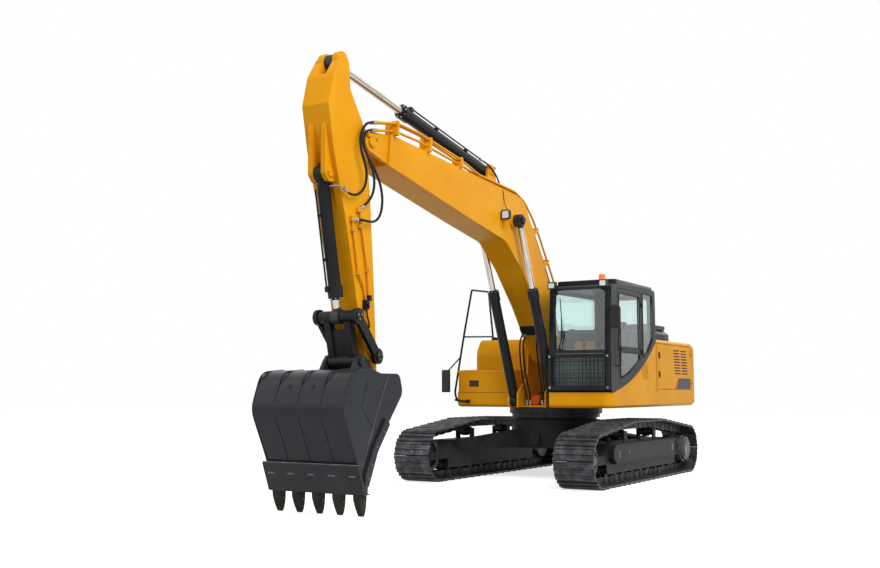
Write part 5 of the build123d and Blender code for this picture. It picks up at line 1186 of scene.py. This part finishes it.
# filler and breather caps: x, y, z, radius
TANK_CAPS = ((-0.200, -1.200, 2.198, 0.062), (-0.820, -0.800, 2.170, 0.055), (-1.080, -1.100, 2.170, 0.085))
caps = Shape()
for x, y, z, radius in TANK_CAPS:
    cap_rows = [(-0.01, radius * 1.12), (0.010, radius * 1.12), (0.012, radius), (0.045, radius),
                (0.055, radius * 0.90), (0.056, 0.004)]
    caps.turned(cap_rows, (x, y, z), (x, y, z + 1), 28)
placed("tank_caps", caps, "house", black_paint, smooth=35)
cover_bolts = Shape()
for x, y in disc((-1.080, -1.100), 0.088, 8):
    cover_bolts.bolt((x, y, 2.180), (0, 0, 1), 0.012)
# four marks low at the step's corners, a millimetre wide
for y in (-1.340, -0.580):
    for x in (0.150, 0.690):
        cover_bolts.bolt((x, y, 1.3300), (0, 0, 1), 0.001)
placed("tank_cover_bolts", cover_bolts, "house", bright_steel, smooth=0)
rail_clamps = Shape()
for x, z in ((0.350, 1.190), (0.650, 1.212), (-0.640, 2.030)):
    rail_clamps.block((x - 0.030, -1.470, z - 0.028), (x + 0.030, -1.419, z + 0.028))
placed("handrail_clamps", rail_clamps, "house", cab_paint, smooth=0, bevel=0.003)

# rear lamps, set into the counterweight
REAR_LAMP_Y = 1.020


def rear_at(y):
    """X of the counterweight's bowed rear face at y."""
    return -2.980 + 0.110 * (y / SIDE) ** 2


rear, rear_glass = Shape(), Shape()
for y in (REAR_LAMP_Y, -REAR_LAMP_Y):
    x = rear_at(y)
    rear.prism(rounded(y - 0.085, 1.560, y + 0.085, 1.660, 0.02), x - 0.006, x + 0.05, 0)
    rear_glass.prism(rounded(y - 0.070, 1.575, y + 0.070, 1.645, 0.015), x - 0.0075, x, 0)
placed("rear_lamp_housings", rear, "house", black_plastic, smooth=20, bevel=0.002)
placed("rear_lamp_lenses", rear_glass, "house", red_lens, smooth=0)

# hard oil lines and valve between the towers, caps of the boom foot's and boom cylinders' pins
lines = Shape()
for k in range(5):
    y = 0.285 + 0.026 * k
    lines.pipe([(0.700 - 0.02 * k, y, 1.128), (0.700 - 0.02 * k, y, 1.330 + 0.03 * k), (0.480, y, 1.470 + 0.03 * k),
                (0.100, y, 1.420 + 0.03 * k), (-0.450, y, 1.330 + 0.02 * k), (-0.700, y, 1.300)], 0.08, 0.011, 10)
for k in range(4):
    y = -0.150 + 0.10 * k
    lines.pipe([(0.450, y, 1.128), (0.450, y, 1.260), (0.200, y, 1.330), (-0.300, y, 1.330), (-0.600, y, 1.250)], 0.08,
               0.014, 10)
lines.block((-0.650, -0.210, 1.160), (-0.350, 0.210, 1.390))
lines.block((-0.620, -0.170, 1.380), (-0.380, 0.170, 1.440))
placed("oil_lines_and_valve", lines, "house", black_paint, smooth=40)
bundle = Shape().block((0.050, 0.262, 1.128), (0.400, 0.425, 1.520))
for k in range(6):
    y, x = 0.280 + 0.026 * k, 0.470 - 0.014 * (k % 3)
    bundle.pipe([(x, y, 1.126), (x, y, 1.330 + 0.035 * (k % 3)), (0.340, y - 0.010, 1.560 + 0.04 * (k % 3)),
                 (0.000, y, 1.580), (-0.300, y, 1.420)], 0.09, 0.017, 12)
placed("oil_line_bundle", bundle, "house", black_rubber, smooth=40)
BOSS = ((-0.10, 0.078), (0.020, 0.078), (0.028, 0.070), (0.028, 0.002))
boss = Shape().turned(BOSS, (0.690, -0.020, 1.212), (1.690, -0.020, 1.212), 32)
placed("swivel_cover_boss", boss, "house", orange_paint, smooth=35)


def pin_caps(name, body, finish, pins, profile, bolt_stand, bolt_size):
    """Caps on both ends of pins, three bolts in each: pins are (x, z, radius, y of the face).

    The profile is (out from the face, share of the radius) rows; a last dimple closes it."""
    caps, bolts = Shape(), Shape()
    for x, z, radius, face in pins:
        for side in (1, -1):
            y = side * face
            rows = [(out, radius * share) for out, share in profile[:-1]] + [profile[-1]]
            caps.cap(rows, x, y, z, side)
            for angle in np.arange(3) * 2.094 + 0.5:
                at = (x + radius * 0.62 * math.cos(angle), y + side * bolt_stand, z + radius * 0.62 * math.sin(angle))
                bolts.bolt(at, (0, side, 0), bolt_size)
    placed(name + "_caps", caps, body, finish, smooth=35)
    placed(name + "_bolts", bolts, body, bright_steel, smooth=0)


pin_caps("foot_pin", "house", yellow_paint, ((0.320, 1.920, 0.078, 0.271), (0.800, 1.200, 0.058, 0.419)),
         ((-0.03, 1.0), (0.008, 1.0), (0.014, 0.88), (0.014, 0.3), (0.010, 0.002)), 0.0135, 0.014)

# ------------------------------------------------------------------ undercarriage
ring_bolts = Shape()
for x, y in disc((0, 0), 0.718, 36):
    ring_bolts.bolt((x, y, 1.0100), (0, 0, -1), 0.020)
placed("swing_ring_bolts", ring_bolts, "house", link_steel, smooth=0)
IDLER_CAP = ((-0.02, 0.066), (0.010, 0.066), (0.020, 0.052), (0.024, 0.030), (0.025, 0.002))
ROLLER_END = ((-0.02, 0.026), (0.006, 0.026), (0.010, 0.020), (0.010, 0.002))
GUARD_EDGE = ((-0.012, -0.001), (0.012, -0.001), (0.010, 0.008), (-0.010, 0.008))
hub_bolts, hubs, guard_edges, guard_slots, guard_opening, roller_ends = (Shape() for _ in range(6))
# outline of the plate over the rollers: x, z
GUARD = ((-1.310, 0.332), (1.310, 0.332), (1.412, 0.408), (1.412, 0.512), (1.345, 0.576), (-1.310, 0.576))
for side in (1, -1):
    centre = side * TRACK_HALF_GAUGE
    for radius, count, out, size in ((0.172, 16, 0.215, 0.018), (0.112, 6, 0.240, 0.014)):
        for x, z in disc((-WHEEL_X, WRAP), radius, count):
            hub_bolts.bolt((x, centre + side * out, z), (0, side, 0), size)
    hubs.cap(IDLER_CAP, WHEEL_X, centre + side * 0.150, WRAP, side)
    for k in range(9):
        x = -1.400 + 0.350 * k
        roller_ends.cap(ROLLER_END, x, centre + side * 0.140, 0.223, side, 14)
    face = centre + side * 0.240
    skin = beyond(side, face, -0.001, 0.0015)
    guard_edges.rim(GUARD, [(out, side * up) for out, up in GUARD_EDGE], face)
    for x in (-1.150, 1.190):
        guard_slots.prism(rounded(x - 0.020, 0.395, x + 0.020, 0.505, 0.013), *skin)
    guard_slots.prism(disc((0.790, 0.470), 0.020, 16), *skin)
    guard_opening.prism(box(0.960, 0.385, 1.020, 0.515), *skin)
placed("final_drive_bolts", hub_bolts, "undercarriage", bright_steel, smooth=0)
placed("idler_hub_caps", hubs, "undercarriage", disc_steel, smooth=35)
placed("roller_end_caps", roller_ends, "undercarriage", link_steel, smooth=35)
placed("track_guard_edges", guard_edges, "undercarriage", black_paint, smooth=20)
placed("track_guard_opening", guard_opening, "undercarriage", black_rubber, smooth=0)
placed("track_guard_slots", guard_slots, "undercarriage", disc_steel, smooth=0)

# ------------------------------------------------------------------ bucket
def stacked(rows):
    """Four-cornered solid down through (z, x from, x to, half width) rows, ends closed."""
    points = [(x, y, z) for z, x_low, x_high, half in rows
              for x, y in ((x_low, -half), (x_high, -half), (x_high, half), (x_low, half))]
    faces = grid_faces(len(rows), 4)
    last = 4 * (len(rows) - 1)
    return points, flipped(faces) + [(0, 1, 2, 3), (last + 3, last + 2, last + 1, last)]


TOOTH_YS = np.arange(-2, 3) * 0.275
ADAPTER = ((0.2497, 0.170, 0.292, 0.050), (0.190, 0.168, 0.288, 0.047), (0.150, 0.170, 0.276, 0.040))
POINT = ((0.185, 0.160, 0.292, 0.041), (0.120, 0.163, 0.268, 0.038), (0.060, 0.172, 0.240, 0.033),
         (0.0205, 0.188, 0.218, 0.028))
teeth, tooth_pins = Shape(), Shape()
for y in TOOTH_YS:
    for rows in (ADAPTER, POINT):
        points, faces = stacked(rows)
        teeth.add(np.array(points) + (6.0, y, 0.0), faces)
    tooth_pins.bar((6.215, y - 0.052, 0.168), (6.215, y + 0.052, 0.168), 0.010)
tooth_piece = placed("tooth_points", teeth, "bucket", tooth_paint, smooth=20, bevel=0.004)
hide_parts("bucket_teeth")
placed("tooth_pins", tooth_pins, "bucket", disc_steel, smooth=40)

# ribs down the shell's back: y, half width
RIBS = ((-0.310, 0.006), (0.0, 0.006), (0.310, 0.006), (-0.612, 0.009), (0.612, 0.009))
RIB_PROUD = 0.005
SHELL_LINE = ((6.262, 0.300), (6.390, 0.620), (6.655, 1.150), (6.500, 1.560), (6.130, 1.5895))
shell_path = softened(SHELL_LINE, 0.13, steps=14)
shell_out = np.gradient(shell_path, axis=0)
shell_out = np.column_stack([shell_out[:, 1], -shell_out[:, 0]]) / np.linalg.norm(shell_out, axis=1)[:, None]
strips = Shape()
for y, half in RIBS:
    rows = []
    for dy, rise in ((-half, -0.010), (half, -0.010), (half * 0.6, RIB_PROUD), (-half * 0.6, RIB_PROUD)):
        flat = shell_path + rise * shell_out
        rows.append(np.column_stack([flat[:, 0], np.full(len(flat), y + dy), flat[:, 1]]))
    strips.add(np.stack(rows, 1), grid_faces(len(shell_path), 4))
placed("bucket_ribs", strips, "bucket", bucket_paint, smooth=30)
lip, lip_marks, shell_holes = Shape(), Shape(), Shape()
LIP = ((6.186, 0.2495), (6.290, 0.2495), (6.411, 0.556), (6.405, 0.568), (6.380, 0.575), (6.255, 0.262), (6.186, 0.262))
lip.prism(LIP, -0.652, 0.652)
placed("bucket_lip_plate", lip, "bucket", bucket_paint, smooth=0, bevel=0.003)
lip_marks.bar((6.400, -0.650, 0.572), (6.400, 0.650, 0.572), 0.006)
for y in TOOTH_YS:
    lip_marks.prism([(6.3640, 0.444), (6.3695, 0.442), (6.3765, 0.460), (6.3710, 0.462)], y - 0.045, y + 0.045)
for y in (-0.155, 0.155):
    shell_holes.bar((6.540, y, 1.394), (6.5645, y, 1.4030), 0.026)
placed("bucket_shell_holes", shell_holes, "bucket", black_rubber, smooth=40)
# side cutters: x, z
CUTTER = ((5.800, 0.985), (6.030, 0.700), (6.205, 0.330), (6.285, 0.330), (6.260, 0.470), (6.120, 0.740),
          (5.870, 1.060))
cutters, cutter_bolts = Shape(), Shape()
for side in (1, -1):
    face = side * 0.620
    bead = face + side * 0.001
    cutters.prism(softened(CUTTER, 0.02, True), *beyond(side, face, -0.002, 0.030))
    for x, z in ((5.930, 0.905), (6.060, 0.750), (6.160, 0.560), (6.215, 0.420)):
        cutter_bolts.bolt((x, face + side * 0.030, z), (0, side, 0), 0.020)
    lip_marks.tube([(6.285, bead, 0.560), (6.000, bead, 1.150), (5.800, bead, 1.530)], 0.005, 6)
    cutters.tube([(6.10, bead, 0.95), (6.30, bead, 1.18), (6.52, bead, 1.24)], 0.004, 6)
    cutters.tube([(6.30, bead, 1.18), (6.20, bead, 1.45)], 0.004, 6)
placed("bucket_weld_marks", lip_marks, "bucket", disc_steel, smooth=30)
placed("bucket_side_cutters", cutters, "bucket", bucket_paint, smooth=20, bevel=0.002)
placed("bucket_cutter_bolts", cutter_bolts, "bucket", disc_steel, smooth=0)
pin_caps("rocker_pin", "rocker_links", cylinder_paint, ((5.510, 1.750, 0.056, 0.304), (*BUCKET_ROD_EYE, 0.056, 0.295)),
         ((-0.02, 1.0), (0.006, 1.0), (0.012, 0.86), (0.012, 0.3), (0.009, 0.002)), 0.0115, 0.013)
ear_pins = Shape()
for x, z in ((5.500, 1.400), (5.775, 1.680)):
    for side in (1, -1):
        y = side * 0.247
        ear_pins.cap([(-0.005, 0.054), (0.006, 0.054), (0.011, 0.046), (0.011, 0.002)], x, y, z, side)
placed("bucket_pin_caps", ear_pins, "bucket", bucket_paint, smooth=35)

# ------------------------------------------------------------------ stage, light, camera
def background(strength):
    """Plain light for the object, and white wherever the camera, gloss or glass sees past it."""
    world = bpy.data.worlds.new("studio")
    bpy.context.scene.world = world
    world.use_nodes = True
    tree = world.node_tree
    tree.nodes.clear()
    path = tree.nodes.new("ShaderNodeLightPath")
    seen = tree.nodes.new("ShaderNodeMath")
    seen.operation = "MAXIMUM"
    clear = tree.nodes.new("ShaderNodeMath")
    clear.operation = "MAXIMUM"
    tree.links.new(path.outputs["Is Camera Ray"], seen.inputs[0])
    tree.links.new(path.outputs["Is Glossy Ray"], seen.inputs[1])
    tree.links.new(seen.outputs[0], clear.inputs[0])
    tree.links.new(path.outputs["Is Transmission Ray"], clear.inputs[1])
    level = tree.nodes.new("ShaderNodeMapRange")
    level.inputs["To Min"].default_value = strength
    level.inputs["To Max"].default_value = 1.0
    tree.links.new(clear.outputs[0], level.inputs["Value"])
    shade = tree.nodes.new("ShaderNodeBackground")
    shade.inputs["Color"].default_value = (1, 1, 1, 1)
    tree.links.new(level.outputs[0], shade.inputs["Strength"])
    end = tree.nodes.new("ShaderNodeOutputWorld")
    tree.links.new(shade.outputs[0], end.inputs["Surface"])


def floor(reach):
    """Pale floor that takes the object's shadow and reads as white away from it."""
    mesh = bpy.data.meshes.new("floor")
    corners = [(x, y, -0.001) for x, y in box(-reach, -reach, reach, reach)]
    mesh.from_pydata(corners, [], [(0, 1, 2, 3)])
    ground = bpy.data.objects.new("floor", mesh)
    bpy.context.scene.collection.objects.link(ground)
    f = Finish("pale_floor")
    matt = f.node("ShaderNodeBsdfDiffuse", None, {"Color": (0.38, 0.38, 0.38, 1)})
    pale = f.node("ShaderNodeBsdfDiffuse", None, {"Color": (0.82, 0.82, 0.82, 1)})
    lift = f.node("ShaderNodeEmission", None, {"Color": (1, 1, 1, 1), "Strength": 0.66})
    both = f.node("ShaderNodeAddShader", None, {0: pale, 1: lift})
    path = f.node("ShaderNodeLightPath", output="Is Camera Ray")
    gloss = f.node("ShaderNodeLightPath", output="Is Glossy Ray")
    through = f.node("ShaderNodeLightPath", output="Is Transmission Ray")
    seen = path.maths("MAXIMUM", path.maths("MAXIMUM", path, gloss), through)
    f.node_output(f.node("ShaderNodeMixShader", None, {0: seen, 1: matt, 2: both}))
    mesh.materials.append(f.material)


def lamp(name, place, aim, size, power, glossy=True):
    """Square soft light at a place, turned to an aim."""
    light = bpy.data.lights.new(name, "AREA")
    light.shape, light.size, light.energy = "SQUARE", size, power
    holder = bpy.data.objects.new(name, light)
    holder.location = Vector(place)
    holder.rotation_mode = "QUATERNION"
    holder.rotation_quaternion = (Vector(aim) - Vector(place)).to_track_quat("-Z", "Y")
    holder.visible_glossy = glossy
    bpy.context.scene.collection.objects.link(holder)


background(0.50)
floor(60.0)
# name, place, aim, width in metres, watts, seen in gloss
lamp("key", (7.0, 12.0, 13.0), (-0.5, 0.0, 1.8), 14.0, 2800, False)
lamp("fill", (11.0, -9.0, 8.0), (0.0, 0.0, 1.5), 13.0, 620)
lamp("rear", (-13.0, 3.0, 10.0), (-1.0, 0.0, 1.5), 12.0, 600)

LENS_MM, SENSOR_MM = 42.75, 36.0
CAMERA_PLACE = (SWING_X + 15.5, 7.07, 1.355)
HEADING, RISE = math.radians(30.8), math.radians(5.83)
camera_data = bpy.data.cameras.new("camera")
camera_data.lens, camera_data.sensor_width = LENS_MM, SENSOR_MM
camera_data.clip_end = 300.0
camera = bpy.data.objects.new("camera", camera_data)
camera.location = CAMERA_PLACE
camera.rotation_mode = "QUATERNION"
look = Vector((-math.cos(HEADING) * math.cos(RISE), -math.sin(HEADING) * math.cos(RISE), math.sin(RISE)))
camera.rotation_quaternion = look.to_track_quat("-Z", "Y")
bpy.context.scene.collection.objects.link(camera)
bpy.context.scene.camera = camera

bpy.context.scene.view_settings.view_transform = "Standard"
